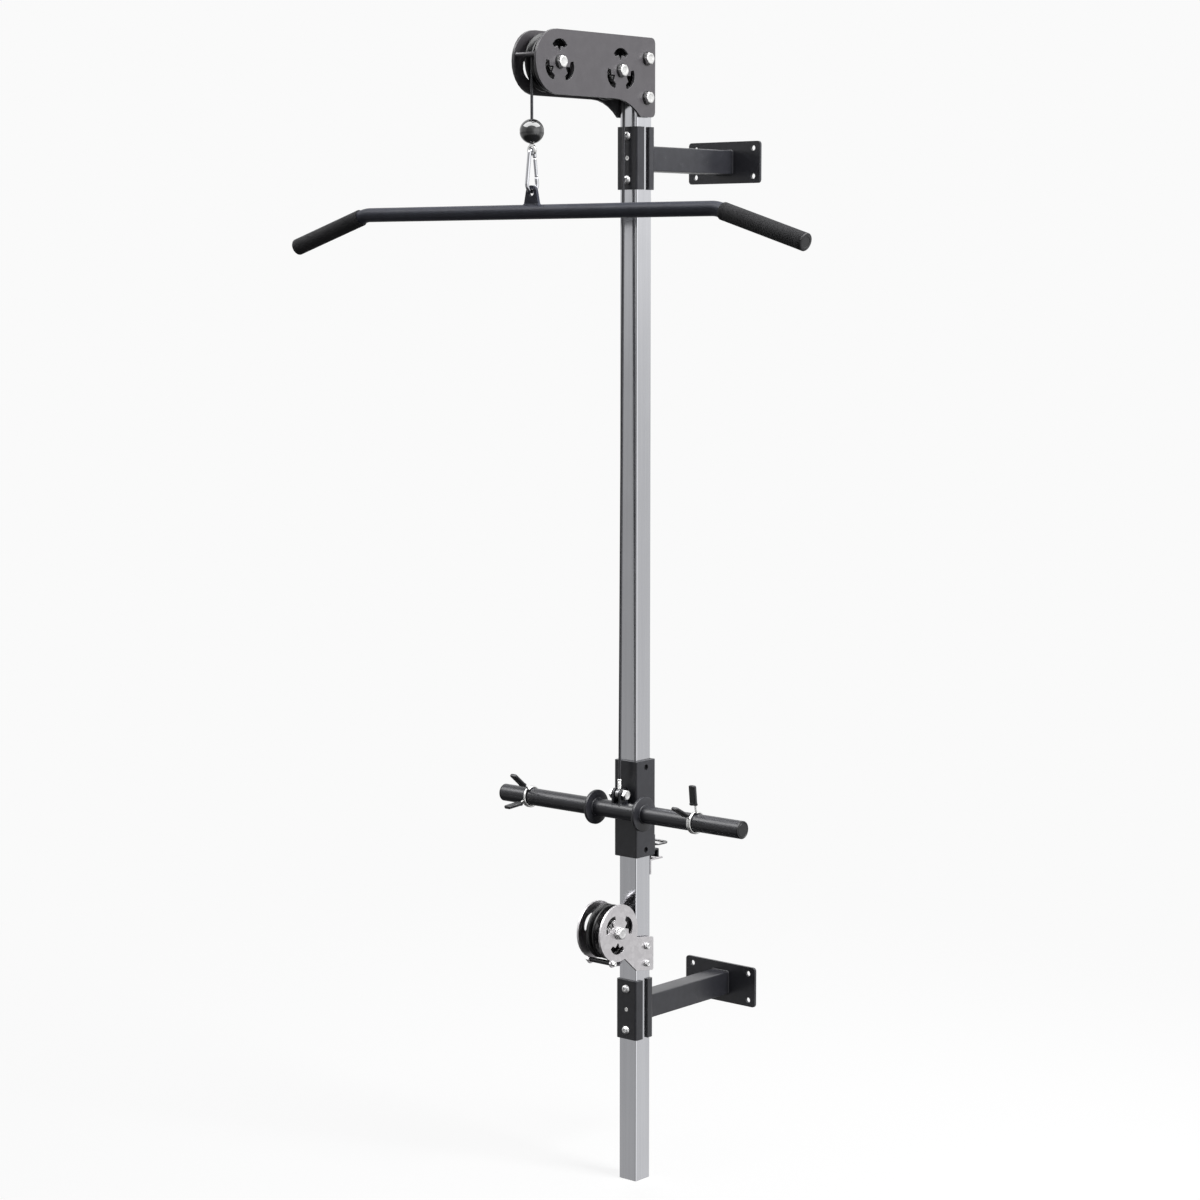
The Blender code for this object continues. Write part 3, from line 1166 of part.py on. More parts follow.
carriage_slide = empty("carriage_slide", (0.0, 0.0, CARRIAGE_BOTTOM))
lat_line_slide = empty("lat_line_slide", (0.0, LAT_BAR_Y, BALL_CENTRE_Z))
swivel_pivot = empty("line_swivel_pivot", (0.0, 0.0, -BALL_RADIUS))
swivel_pivot.parent = lat_line_slide
carabiner_pivot = empty("carabiner_pivot", Vector((0.0, LAT_BAR_Y, EYE_Z)) - world_place(swivel_pivot))
carabiner_pivot.parent = swivel_pivot
lat_bar_pivot = empty("lat_bar_pivot", Vector((0.0, LAT_BAR_Y, HANG_Z)) - world_place(carabiner_pivot))
lat_bar_pivot.parent = carabiner_pivot

make_cable(lat_line_slide, carriage_slide)
make_ball(lat_line_slide)
make_eye(swivel_pivot)
make_carabiner(carabiner_pivot)
make_lat_bar(lat_bar_pivot)
make_carriage(carriage_slide)
make_load_bar(carriage_slide)
make_cable_anchor(carriage_slide)
left_x, right_x = COLLAR_LEFT_INSET - LOAD_BAR_HALF, LOAD_BAR_HALF - COLLAR_RIGHT_INSET
make_collar("left_collar", left_x, COLLAR_LEFT_ROOTS, COLLAR_LEFT_LEANS, carriage_slide)
make_collar("right_collar", right_x, COLLAR_RIGHT_ROOTS, COLLAR_RIGHT_LEANS, carriage_slide)
make_stop()
make_lock(carriage_slide)
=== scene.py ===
"""Looks of the wall-mounted lat pulldown tower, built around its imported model.

Metres. +X runs along the wall, +Y points to the wall, +Z is up, as in the model.
"""
from math import acos, asin, atan2, ceil, cos, pi, radians, sin, sqrt, tan

import bmesh
import bpy
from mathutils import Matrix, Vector


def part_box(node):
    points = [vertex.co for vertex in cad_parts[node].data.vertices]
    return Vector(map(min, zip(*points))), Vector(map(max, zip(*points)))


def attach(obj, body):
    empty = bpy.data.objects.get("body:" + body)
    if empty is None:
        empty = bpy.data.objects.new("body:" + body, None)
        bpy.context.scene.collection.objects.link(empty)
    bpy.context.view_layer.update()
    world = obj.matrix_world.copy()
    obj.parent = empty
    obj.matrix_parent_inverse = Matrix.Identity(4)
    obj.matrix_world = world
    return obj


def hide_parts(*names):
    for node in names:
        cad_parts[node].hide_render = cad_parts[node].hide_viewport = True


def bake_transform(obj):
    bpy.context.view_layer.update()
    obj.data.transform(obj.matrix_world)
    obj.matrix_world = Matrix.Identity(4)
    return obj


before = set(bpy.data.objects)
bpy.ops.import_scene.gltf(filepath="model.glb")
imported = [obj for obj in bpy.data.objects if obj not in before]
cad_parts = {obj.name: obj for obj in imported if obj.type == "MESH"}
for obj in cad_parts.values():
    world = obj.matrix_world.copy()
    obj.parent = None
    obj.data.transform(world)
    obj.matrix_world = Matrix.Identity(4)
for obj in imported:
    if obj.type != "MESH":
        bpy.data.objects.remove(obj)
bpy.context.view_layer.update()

scene = bpy.context.scene
scene.view_settings.view_transform = "Standard"
X, Y, Z = Vector((1, 0, 0)), Vector((0, 1, 0)), Vector((0, 0, 1))


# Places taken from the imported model
def middle(node):
    low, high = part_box(node)
    return (low + high) / 2


def on_plane(node, axis="x"):
    """The middle of a node, moved along one axis to the plane through the origin."""
    spot = middle(node)
    setattr(spot, axis, 0.0)
    return spot


FRONT_AXLE, REAR_AXLE, LOW_AXLE = (on_plane(f"{place}_pulley") for place in ("front", "rear", "low"))
BALL = middle("ball_stop")
LOAD_BAR = on_plane("load_cap_left")
EAR_BOLT = middle("cable_ear_bolt")
SLEEVE_LOW, SLEEVE_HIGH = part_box("carriage_sleeve")
POST_LOW, POST_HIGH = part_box("post")
LOCK_PIN_Z = middle("lock_pin").z

# Sizes that repeat the model's
GAP = 0.0003
PITCH_RADIUS, CABLE_RADIUS = 0.041, 0.0025
LINE_Y = FRONT_AXLE.y - PITCH_RADIUS
POST_WALL, POST_CORNER = 0.002, 0.0025
LAT_Z, LAT_RADIUS = 1.7625, 0.0125
LAT_HALF, LAT_BEND = 0.400, 0.060
WING_LENGTH, WING_ANGLE = 0.186, radians(17.2)
GRIP_RADIUS, GRIP_LENGTH = 0.015, 0.172
HANG_Z = 1.797
LUG_HOLE_Z = HANG_Z - 0.0016
LOAD_RADIUS, LOAD_HALF = 0.016, 0.282
LOAD_CAP = 0.0028
FLANGE_X, FLANGE_RADIUS, FLANGE_HALF = 0.056, 0.0315, 0.003
EAR_X, EAR_RADIUS, EAR_HALF = 0.0083, 0.011, 0.002

# A bolt's shank radius, width across flats and head height
M5, M6, M8 = (0.0025, 0.008, 0.0035), (0.003, 0.010, 0.004), (0.004, 0.013, 0.0065)
M10, M12 = (0.005, 0.017, 0.0064), (0.006, 0.019, 0.0075)
BUTTON_RADIUS, BUTTON_HEIGHT, BUTTON_SOCKET = 0.0082, 0.0048, 0.006
WASHER_SHARE, WASHER_THICKNESS, EASE = 0.625, 0.0016, 0.0003
THREAD_PROUD, THREAD_STEP = 0.003, 0.0005

# Spacer collars: how far out they reach in the head and low brackets, where they start, their radii
HEAD_REACH, LOW_REACH = 0.0227, 0.0237
POST_SIDE, HUB_SIDE = 0.0203, 0.0093
SHIM_RADIUS, SPACER_RADIUS = 0.009, 0.0085


# Camera
def make_camera():
    lens = bpy.data.cameras.new("camera")
    lens.lens = 84.945
    lens.sensor_width = 36.0
    camera = bpy.data.objects.new("camera", lens)
    camera.location = (3.26152, -3.89339, 1.65375)
    camera.rotation_euler = (radians(90 - 6.524), 0.0, radians(40.669))
    scene.collection.objects.link(camera)
    scene.camera = camera


# Node graphs
def add(tree, kind, inputs=None, **settings):
    """A node with its settings, and its inputs by name or number: sockets are linked, values are set."""
    made = tree.nodes.new(kind)
    for name, value in settings.items():
        setattr(made, name, value)
    for key, value in (inputs or {}).items():
        if isinstance(value, bpy.types.NodeSocket):
            tree.links.new(value, made.inputs[key])
        else:
            made.inputs[key].default_value = value
    return made


def grey(level):
    return (level, level, level, 1.0)


def ramp(tree, factor, low, high, dark, light):
    """Blends two greys or colours between two levels of a factor."""
    made = add(tree, "ShaderNodeValToRGB", {"Fac": factor})
    for element, position, colour in zip(made.color_ramp.elements, (low, high), (dark, light)):
        element.position = position
        element.color = (*colour, 1.0) if isinstance(colour, tuple) else grey(colour)
    return made.outputs["Color"]


# Finishes
FINISHES = {}
SCUFF_TONE = 0.3


def finish(name, dark, light, roughness, spread=0.06, metallic=0.0, specular=0.5, grain=45.0,
           stretch=(1, 1, 1), relief=700.0, depth=0.0001, cells=False, scuffs=0.0, coat=0.0):
    """Adds a procedural finish: mottled colour, uneven gloss and fine relief.

    Cells turn the mottling into the crystals of hot-dip zinc, and scuffs above 0 add worn streaks.
    """
    made = bpy.data.materials.new(name)
    made.use_nodes = True
    tree = made.node_tree
    shader = tree.nodes["Principled BSDF"]
    place = add(tree, "ShaderNodeTexCoord").outputs["Object"]
    along = add(tree, "ShaderNodeMapping", {"Vector": place, "Scale": stretch}).outputs["Vector"]
    if cells:
        tone = add(tree, "ShaderNodeTexVoronoi", {"Vector": along, "Scale": grain}).outputs["Color"]
        tone = add(tree, "ShaderNodeSeparateColor", {"Color": tone}).outputs["Red"]
        colour = ramp(tree, tone, 0.0, 1.0, dark, light)
    else:
        tone = add(tree, "ShaderNodeTexNoise", {"Vector": along, "Scale": grain, "Detail": 6.0})
        colour = ramp(tree, tone.outputs["Fac"], 0.35, 0.65, dark, light)
    smudge = add(tree, "ShaderNodeTexNoise", {"Vector": place, "Scale": 14.0, "Detail": 5.0})
    levels = {"Value": smudge.outputs["Fac"], "From Min": 0.3, "From Max": 0.7,
              "To Min": roughness - spread, "To Max": roughness + spread}
    gloss = add(tree, "ShaderNodeMapRange", levels)
    if scuffs:
        drawn_out = add(tree, "ShaderNodeMapping", {"Vector": place, "Scale": (0.25, 1.0, 1.0)})
        streaks = {"Vector": drawn_out.outputs["Vector"], "Scale": 90.0, "Detail": 9.0, "Roughness": 0.7}
        worn = add(tree, "ShaderNodeTexNoise", streaks)
        worn = ramp(tree, worn.outputs["Fac"], 0.60, 0.72, 0.0, scuffs)
        mixed = add(tree, "ShaderNodeMix", {0: worn, 6: colour, 7: grey(SCUFF_TONE)}, data_type="RGBA")
        colour = mixed.outputs[2]
    tree.links.new(colour, shader.inputs["Base Color"])
    tree.links.new(gloss.outputs["Result"], shader.inputs["Roughness"])
    height = add(tree, "ShaderNodeTexNoise", {"Vector": along, "Scale": relief, "Detail": 3.0})
    bumps = {"Height": height.outputs["Fac"], "Strength": 0.5, "Distance": depth}
    bump = add(tree, "ShaderNodeBump", bumps)
    tree.links.new(bump.outputs["Normal"], shader.inputs["Normal"])
    shader.inputs["Metallic"].default_value = metallic
    shader.inputs["Specular IOR Level"].default_value = specular
    if coat:
        shader.inputs["Coat Weight"].default_value = coat
        shader.inputs["Coat Roughness"].default_value = 0.04
        shader.inputs["Coat IOR"].default_value = 1.6
    FINISHES[name] = made


def make_metals():
    finish("chrome", (0.525, 0.530, 0.555), (0.555, 0.560, 0.585), 0.15, 0.04, 1.0,
           grain=160.0, stretch=(1, 1, 0.015), relief=900.0, depth=0.000006)
    finish("zinc", (0.66, 0.66, 0.655), (0.80, 0.80, 0.79), 0.24, 0.08, 1.0, grain=160.0, depth=0.00004)
    finish("dull_zinc", (0.58, 0.58, 0.585), (0.70, 0.70, 0.70), 0.40, 0.06, 1.0,
           grain=160.0, depth=0.00004)
    # Dark steel: the eyelet's own dark tone, and on the lock handle a painted shade for the sleeve's dark
    # reflection in the wire.
    finish("dark_zinc_and_shade", (0.13, 0.13, 0.135), (0.20, 0.20, 0.205), 0.34, 0.06, 1.0,
           grain=160.0, depth=0.00004)
    finish("galvanised", (0.55, 0.535, 0.55), (0.63, 0.615, 0.63), 0.36, 0.06, 1.0,
           grain=130.0, cells=True, depth=0.00004)
    finish("bearing_steel", (0.48, 0.48, 0.48), (0.60, 0.60, 0.60), 0.26, 0.06, 1.0,
           grain=200.0, depth=0.00003)


def make_paints():
    finish("black_paint", (0.021, 0.0215, 0.026), (0.027, 0.0275, 0.033), 0.32, 0.04, specular=0.45,
           grain=60.0, scuffs=0.08, depth=0.00004)
    # The _edge finishes go on bevelled edges and are lighter than their paints: partly edge wear, partly a
    # painted highlight for light caught along the edges.
    finish("black_paint_edge", (0.045, 0.045, 0.048), (0.075, 0.075, 0.080), 0.34, 0.05,
           grain=120.0, scuffs=0.35, depth=0.00008)
    finish("grey_paint", (0.068, 0.064, 0.070), (0.077, 0.073, 0.079), 0.34, 0.04,
           grain=60.0, scuffs=0.05, depth=0.00005)
    finish("grey_paint_edge", (0.080, 0.080, 0.084), (0.120, 0.120, 0.125), 0.34, 0.05,
           grain=120.0, scuffs=0.35, depth=0.00008)
    finish("bar_paint", (0.030, 0.032, 0.044), (0.037, 0.040, 0.054), 0.44, 0.04, specular=0.20,
           grain=50.0, scuffs=0.05, depth=0.00005)


def make_plastics():
    finish("nylon", (0.008, 0.008, 0.009), (0.013, 0.013, 0.014), 0.30, 0.05, specular=0.4,
           grain=110.0, depth=0.00006)
    finish("ball_plastic", (0.010, 0.010, 0.011), (0.014, 0.014, 0.015), 0.06, 0.015, specular=0.5,
           grain=80.0, depth=0.000005, coat=0.8)
    finish("vinyl", (0.014, 0.014, 0.016), (0.022, 0.022, 0.024), 0.32, 0.06, specular=0.4,
           grain=120.0, depth=0.00006)
    finish("foam", (0.008, 0.008, 0.009), (0.014, 0.014, 0.015), 0.80, 0.07, specular=0.3,
           grain=300.0, relief=1400.0, depth=0.0003)
    finish("cable_coating", (0.024, 0.024, 0.028), (0.034, 0.034, 0.038), 0.36, 0.05,
           grain=400.0, stretch=(1, 1, 0.4), relief=1200.0, depth=0.00015)


# Outlines and paths
def arc(centre, radius, start, end, steps):
    turn = (end - start) / steps
    return [(centre[0] + radius * cos(start + turn * k), centre[1] + radius * sin(start + turn * k))
            for k in range(steps + 1)]


def circle(centre, radius, steps=40):
    return arc(centre, radius, 0.0, 2 * pi, steps)[:-1]


def rounded_rectangle(half_width, half_height, corner, steps=6, centre=(0.0, 0.0)):
    points = []
    for quarter, (right, top) in enumerate(((1, 1), (-1, 1), (-1, -1), (1, -1))):
        spot = (centre[0] + right * (half_width - corner), centre[1] + top * (half_height - corner))
        points += arc(spot, corner, quarter * pi / 2, (quarter + 1) * pi / 2, steps)
    return points


def rounded_path(corners, radius, steps=12):
    """A path through corners, each one turned into an arc."""
    path = [corners[0]]
    for before, corner, after in zip(corners, corners[1:], corners[2:]):
        inward = (before - corner).normalized()
        outward = (after - corner).normalized()
        half = acos(max(-1.0, min(1.0, inward.dot(outward)))) / 2
        centre = corner + (inward + outward).normalized() * (radius / sin(half))
        start = corner + inward * (radius / tan(half)) - centre
        end = corner + outward * (radius / tan(half)) - centre
        turn = pi - 2 * half
        for k in range(steps + 1):
            share = k / steps
            weights = sin((1 - share) * turn), sin(share * turn)
            path.append(centre + (start * weights[0] + end * weights[1]) / sin(turn))
    return path + [corners[-1]]


def resampled(path, pitch, closed=False):
    """The same path with points at an even spacing."""
    corners = list(path) + ([path[0]] if closed else [])
    spots = []
    for here, there in zip(corners, corners[1:]):
        count = max(1, round((there - here).length / pitch))
        spots += [here.lerp(there, k / count) for k in range(count)]
    return spots if closed else spots + [corners[-1]]


# Meshes
def frame_across(direction):
    """Two directions square to a third."""
    first = Y if abs(direction.y) < 0.9 else X
    first = (first - direction * first.dot(direction)).normalized()
    return first, direction.cross(first)


def skin(rings, closed=False):
    """Skin over a row of rings with equal counts: a closed row makes a hollow ring shape."""
    bm = bmesh.new()
    rows = [[bm.verts.new(spot) for spot in ring] for ring in rings]
    pairs = list(zip(rows, rows[1:]))
    if closed:
        pairs.append((rows[-1], rows[0]))
    else:
        bm.faces.new(rows[0])
        bm.faces.new(rows[-1])
    for lower, upper in pairs:
        for k in range(len(lower)):
            after = (k + 1) % len(lower)
            bm.faces.new((lower[k], lower[after], upper[after], upper[k]))
    bmesh.ops.recalc_face_normals(bm, faces=bm.faces[:])
    return bm


def lathe(rows, origin, direction=X, closed=False, sides=60):
    """A turned solid from (along, radius) rows. A third number trims a row to a hexagon of that width."""
    first, second = frame_across(direction)
    rings = []
    for along, radius, *flats in rows:
        ring = []
        for k in range(sides):
            angle = 2 * pi * k / sides
            reach = radius
            if flats:
                reach = min(radius, flats[0] / 2 / cos(angle % (pi / 3) - pi / 6))
            ring.append(origin + direction * along + (first * cos(angle) + second * sin(angle)) * reach)
        rings.append(ring)
    return skin(rings, closed)


def sweep(path, radius, sides=20, closed=False):
    """A round bar along a path. The radius is one number, or one for each point."""
    count = len(path)
    radii = radius if isinstance(radius, list) else [radius] * count
    rings, across = [], None
    for k, spot in enumerate(path):
        before = path[k - 1] if closed or k else path[0]
        after = path[(k + 1) % count] if closed or k < count - 1 else path[-1]
        direction = (after - before).normalized()
        if across is None:
            across = frame_across(direction)[0]
        across = (across - direction * across.dot(direction)).normalized()
        upright = direction.cross(across)
        turns = [2 * pi * n / sides for n in range(sides)]
        rings.append([spot + radii[k] * (across * cos(a) + upright * sin(a)) for a in turns])
    return skin(rings, closed)


def extruded(outlines, axis, low, high):
    """A flat outline, with holes as further outlines, extruded along X, Y or Z."""
    def place(u, v, along):
        return Vector({"X": (along, u, v), "Y": (u, along, v), "Z": (u, v, along)}[axis])

    bm = bmesh.new()
    for outline in outlines:
        corners = [bm.verts.new(place(u, v, low)) for u, v in outline]
        for here, there in zip(corners, corners[1:] + corners[:1]):
            bm.edges.new((here, there))
    bmesh.ops.triangle_fill(bm, edges=bm.edges[:], use_beauty=True)
    raised = bmesh.ops.extrude_face_region(bm, geom=bm.faces[:])
    moved = [item for item in raised["geom"] if isinstance(item, bmesh.types.BMVert)]
    bmesh.ops.translate(bm, verts=moved, vec=place(0, 0, high - low))
    bmesh.ops.recalc_face_normals(bm, faces=bm.faces[:])
    tidy(bm)
    return bm


def tidy(bm):
    """Merges doubled corners and joins triangles that lie in one plane."""
    bmesh.ops.remove_doubles(bm, verts=bm.verts[:], dist=0.00001)
    bmesh.ops.dissolve_limit(bm, angle_limit=radians(0.5), verts=bm.verts[:], edges=bm.edges[:])


def drilled(bm, holes):
    """The mesh with clean round holes: (axis direction, a point on the axis, radius, half length) each."""
    drills = [lathe([(-half, radius), (half, radius)], spot, direction, sides=40)
              for direction, spot, radius, half in holes]
    shapes = []
    for shape in [bm, *drills]:
        mesh = bpy.data.meshes.new("shape")
        shape.to_mesh(mesh)
        shape.free()
        made = bpy.data.objects.new("shape", mesh)
        scene.collection.objects.link(made)
        shapes.append(made)
    for cutter in shapes[1:]:
        boolean = shapes[0].modifiers.new("hole", "BOOLEAN")
        boolean.operation = "DIFFERENCE"
        boolean.solver = "EXACT"
        boolean.object = cutter
    result = bmesh.new()
    result.from_object(shapes[0], bpy.context.evaluated_depsgraph_get())
    for made in shapes:
        mesh = made.data
        bpy.data.objects.remove(made, do_unlink=True)
        bpy.data.meshes.remove(mesh)
    tidy(result)
    return result


def piece(name, bm, slot, body, nodes=(), bevel=0.0, angle=32, look=None):
    """A finished piece that rides on a body and stands for the named nodes.

    A look is a finish unlike its slot's. A piece with no body is left attached to nothing.
    """
    mesh = bpy.data.meshes.new(name)
    bm.to_mesh(mesh)
    bm.free()
    mesh.materials.append(FINISHES[look or slot])
    made = bpy.data.objects.new(name, mesh)
    scene.collection.objects.link(made)
    mesh.shade_smooth()
    if bevel:
        rounding = made.modifiers.new("edges", "BEVEL")
        rounding.width = bevel
        rounding.segments = 3
        rounding.limit_method = "ANGLE"
        rounding.angle_limit = radians(angle)
        rounding.use_clamp_overlap = True
        # Bevelled edges take the slot's lighter _edge finish where there is one: wear plus a painted edge
        # highlight.
        worn_and_highlit_edge = FINISHES.get(f"{slot}_edge")
        if worn_and_highlit_edge:
            mesh.materials.append(worn_and_highlit_edge)
            rounding.material = 1
        keep_flats(made)
    else:
        mesh.set_sharp_from_angle(angle=radians(angle))
    if body:
        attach(made, body)
    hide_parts(*nodes)
    return made


def keep_flats(made):
    """Keeps flat sides flat where rounded edges or corners meet them."""
    weighted = made.modifiers.new("normals", "WEIGHTED_NORMAL")
    weighted.keep_sharp = True


def refined(node, slot, body, bevel, holes=()):
    """A node's own shape with joined faces, clean round holes and rounded edges."""
    bm = bmesh.new()
    bm.from_mesh(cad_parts[node].data)
    tidy(bm)
    if holes:
        bm = drilled(bm, holes)
    piece(f"{node}_shaped", bm, slot, body, [node], bevel)


def bead(name, path, radius, slot, body, closed=True):
    """A weld bead with the ripples of its passes."""
    spots = resampled(path, 0.0011, closed)
    radii = [radius * (1 + 0.10 * sin(2.1 * k) + 0.05 * sin(0.37 * k)) for k in range(len(spots))]
    piece(name, sweep(spots, radii, 12, closed), slot, body, angle=70)


# Fasteners
def hex_rows(face, inward, flats, height, shank, washer=True):
    """Rows of a hex head or nut from its face in to what it clamps: dish, curved chamfer, flats, washer."""
    def row(depth, radius, *trim):
        return (face + inward * depth, radius, *trim)

    shares = ((0.03, 0.485), (0.10, 0.53), (0.20, 0.585), (0.93, 0.585), (1.0, 0.56))
    rows = [row(0.0, flats * 0.455)]
    rows += [row(height * depth, flats * reach, flats) for depth, reach in shares]
    if washer:
        edge = flats * WASHER_SHARE
        far = height + WASHER_THICKNESS
        rows += [row(height, edge - EASE), row(height + EASE, edge)]
        rows += [row(far - EASE, edge), row(far, edge - EASE)]
        height = far
    return rows + [row(height, shank)]


def head_rows(face, inward, flats, height, shank, washer=True):
    """Rows of a hex head with a dished face."""
    dish = ((0.0005, 0.22), (0.0004, 0.28), (0.0, 0.34))
    rows = [(face + inward * depth, flats * reach) for depth, reach in dish]
    return rows + hex_rows(face, inward, flats, height, shank, washer)


def thread_rows(tip, inward, radius, length):
    """Rows of a bolt's threaded end, from its tip."""
    rows = [(tip, radius * 0.7), (tip + inward * THREAD_STEP, radius * 0.9)]
    for k in range(int((length - THREAD_STEP) / THREAD_STEP)):
        rows.append((tip + inward * (0.0008 + THREAD_STEP * k), radius * (0.99 if k % 2 else 0.88)))
    return rows + [(tip + inward * length, radius)]


def nylon_shade_washer(name, face, shank, edge, centre, body):
    """A black washer around a bolt, from one face on. Its black is the nylon's own and also painted shade
    for the shadow round the bolt head.
    """
    bore, far = shank + 0.0001, face + WASHER_THICKNESS
    rows = [(face, bore), (face, edge - EASE), (face + EASE, edge), (far - EASE, edge), (far, edge - EASE),
            (far, bore)]
    piece(name, lathe(rows, centre, closed=True), "nylon", body)


def cross_bolt(node, size, body, collars=(), nylon_shade_washers=False, look=None):
    """A bolt along X with its head on the right, its nut on the left and spacer collars between."""
    shank, flats, height = size
    low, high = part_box(node)
    rows = head_rows(high.x, -1, flats, height, shank, not nylon_shade_washers)
    for start, end, radius in collars:
        rows += [(start, shank), (start, radius - EASE), (start - EASE, radius)]
        rows += [(end + EASE, radius), (end, radius - EASE), (end, shank)]
    nut_face = low.x + THREAD_PROUD
    rows += hex_rows(nut_face, 1, flats, height, shank, not nylon_shade_washers)[::-1]
    rows += thread_rows(low.x, 1, shank, THREAD_PROUD)[::-1]
    centre = on_plane(node)
    piece(f"{node}_turned", lathe(rows, centre), "zinc", body, [node], look=look)
    # Black washers under head and nut: nylon's own black, also standing in as painted shade for the shadow
    # the heads cast.
    if nylon_shade_washers:
        for label, face in (("right", high.x - height - WASHER_THICKNESS), ("left", nut_face + height)):
            nylon_shade_washer(f"{node}_washer_{label}", face, shank, flats * WASHER_SHARE, centre, body)


def clamp_bolt(node):
    """A round socket head in front of a clamp, with its nut behind the rear half."""
    low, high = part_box(node)
    shank, flats, height = M8
    reach = BUTTON_SOCKET * 0.6
    rows = [(low.y + 0.0026, 0.001), (low.y + 0.0025, reach, BUTTON_SOCKET), (low.y, reach, BUTTON_SOCKET)]
    start = asin(0.52)
    for k in range(7):
        angle = start + (pi / 2 - start) * k / 6
        rise = BUTTON_HEIGHT * (1 - cos(angle) / cos(start))
        rows.append((low.y + rise, BUTTON_RADIUS * sin(angle)))
    rows += [(low.y + BUTTON_HEIGHT, BUTTON_RADIUS * 0.97), (low.y + BUTTON_HEIGHT, shank)]
    rows += hex_rows(high.y - THREAD_PROUD, -1, flats, height, shank)[::-1]
    rows += thread_rows(high.y, -1, shank, THREAD_PROUD)[::-1]
    turned = lathe(rows, on_plane(node, "y"), Y)
    piece(f"{node}_turned", turned, "zinc", "frame", [node], look="dull_zinc")


def both_sides(far, near, radius):
    """A spacer collar on each side of the middle."""
    return [(far, near, radius), (-near, -far, radius)]


def make_fasteners():
    head_shims = both_sides(HEAD_REACH, POST_SIDE, SHIM_RADIUS)
    low_shims = both_sides(LOW_REACH, POST_SIDE, SHIM_RADIUS)
    for place in ("upper", "lower"):
        cross_bolt(f"head_bolt_{place}", M12, "frame", head_shims, True)
        cross_bolt(f"low_bolt_{place}", M6, "frame", low_shims, look="dull_zinc")
    for node in ("front_axle", "rear_axle"):
        cross_bolt(node, M12, "frame", both_sides(HEAD_REACH, HUB_SIDE, SPACER_RADIUS), True)
    cross_bolt("low_axle", M12, "frame", both_sides(LOW_REACH, HUB_SIDE, SPACER_RADIUS), look="dull_zinc")
    cross_bolt("low_retainer_bolt", M5, "frame")
    cross_bolt("cable_ear_bolt", M10, "carriage", nylon_shade_washers=True)
    for clamp in ("upper", "lower"):
        for place in ("top", "bottom"):
            clamp_bolt(f"{clamp}_clamp_bolt_{place}")


# Post and brackets
def box_tube(half, wall, corner, low, high, edge=0.0004):
    """An upright square tube with round corners and eased ends."""
    inner = half - wall
    rows = ((half - edge, corner, low), (half, corner, low + edge), (half, corner, high - edge),
            (half - edge, corner, high), (inner, 0.001, high), (inner, 0.001, low))
    rings = []
    for size, turn, height in rows:
        rings.append([Vector((x, y, height)) for x, y in rounded_rectangle(size, size, turn)])
    return skin(rings, closed=True)


def make_post():
    post = box_tube(POST_HIGH.x, POST_WALL, POST_CORNER, POST_LOW.z, POST_HIGH.z)
    hole_radius, through = 0.0052, 0.004
    lock_hole = (Y, Vector((0, POST_HIGH.x, LOCK_PIN_Z)), hole_radius, through)
    post = drilled(post, [lock_hole])
    keep_flats(piece("post_tube", post, "chrome", "frame", ["post"], angle=50))
    for node in ("post_foot_plug", "post_top_plug"):
        refined(node, "nylon", "frame", 0.0005)


def make_set_screw(name, face, height):
    """A socket screw in the middle of a clamp's front half."""
    reach, socket, depth = 0.0024, 0.004, 0.0020
    radius, edge, length = 0.0041, 0.0004, 0.0034
    rows = [(face + depth + 0.0001, 0.001), (face + depth, reach, socket), (face, reach, socket)]
    rows += [(face, radius - edge), (face + edge, radius), (face + length, radius), (face + length, 0.001)]
    piece(name, lathe(rows, Vector((0, 0, height)), Y, sides=48), "zinc", "frame")


def make_brackets():
    plate, hole_x, hole_rise, hole_radius = 0.005, 0.067, 0.0255, 0.00502
    screw_radius, through, weld = 0.00452, 0.006, 0.0013
    arm_x, arm_z, arm_corner, arm_start = 0.0202, 0.0222, 0.0034, 0.0246
    for name in ("upper", "lower"):
        bracket, clamp = f"{name}_wall_bracket", f"{name}_clamp_front"
        height, back = middle(bracket).z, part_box(bracket)[1].y
        spots = [(x, z) for x in (-hole_x, hole_x) for z in (height - hole_rise, height + hole_rise)]
        holes = [(Y, Vector((x, back - plate / 2, z)), hole_radius, through) for x, z in spots]
        refined(bracket, "black_paint", "frame", 0.0005, holes)
        front, screw_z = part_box(clamp)[0].y, middle(clamp).z
        screw_hole = (Y, Vector((0, front, screw_z)), screw_radius, through)
        refined(clamp, "black_paint", "frame", 0.0005, [screw_hole])
        make_set_screw(f"{name}_clamp_set_screw", front + 0.0004, screw_z)
        loop = rounded_rectangle(arm_x, arm_z, arm_corner, 4, (0.0, height))
        for label, y in (("plate", back - plate - GAP), ("clamp", arm_start)):
            spots = [Vector((x, y, z)) for x, z in loop]
            bead(f"{name}_{label}_weld", spots, weld, "black_paint", "frame")


def make_plates():
    for side in ("left", "right"):
        refined(f"head_plate_{side}", "grey_paint", "frame", 0.0005)
        refined(f"low_plate_{side}", "galvanised", "frame", 0.0004)


def make_retainers():
    """The pin between the head plates and the sleeve between the low ones, which keep a cable in place."""
    low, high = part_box("head_cable_retainer")
    pin = [(low.x, 0.0034), (low.x, 0.0046), (low.x + 0.0016, 0.0046), (low.x + 0.0026, 0.0040),
           (high.x - 0.0026, 0.0040), (high.x - 0.0016, 0.0046), (high.x, 0.0046), (high.x, 0.0034)]
    pin = lathe(pin, on_plane("head_cable_retainer"))
    piece("head_retainer_pin", pin, "grey_paint", "frame", ["head_cable_retainer"])
    low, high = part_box("low_retainer_sleeve")
    tube = [(low.x, 0.0040), (low.x + 0.0004, 0.0045), (high.x - 0.0004, 0.0045), (high.x, 0.0040),
            (high.x, 0.0029), (low.x, 0.0029)]
    tube = lathe(tube, on_plane("low_retainer_sleeve"), closed=True)
    piece("low_retainer_tube", tube, "nylon", "frame", ["low_retainer_sleeve"])


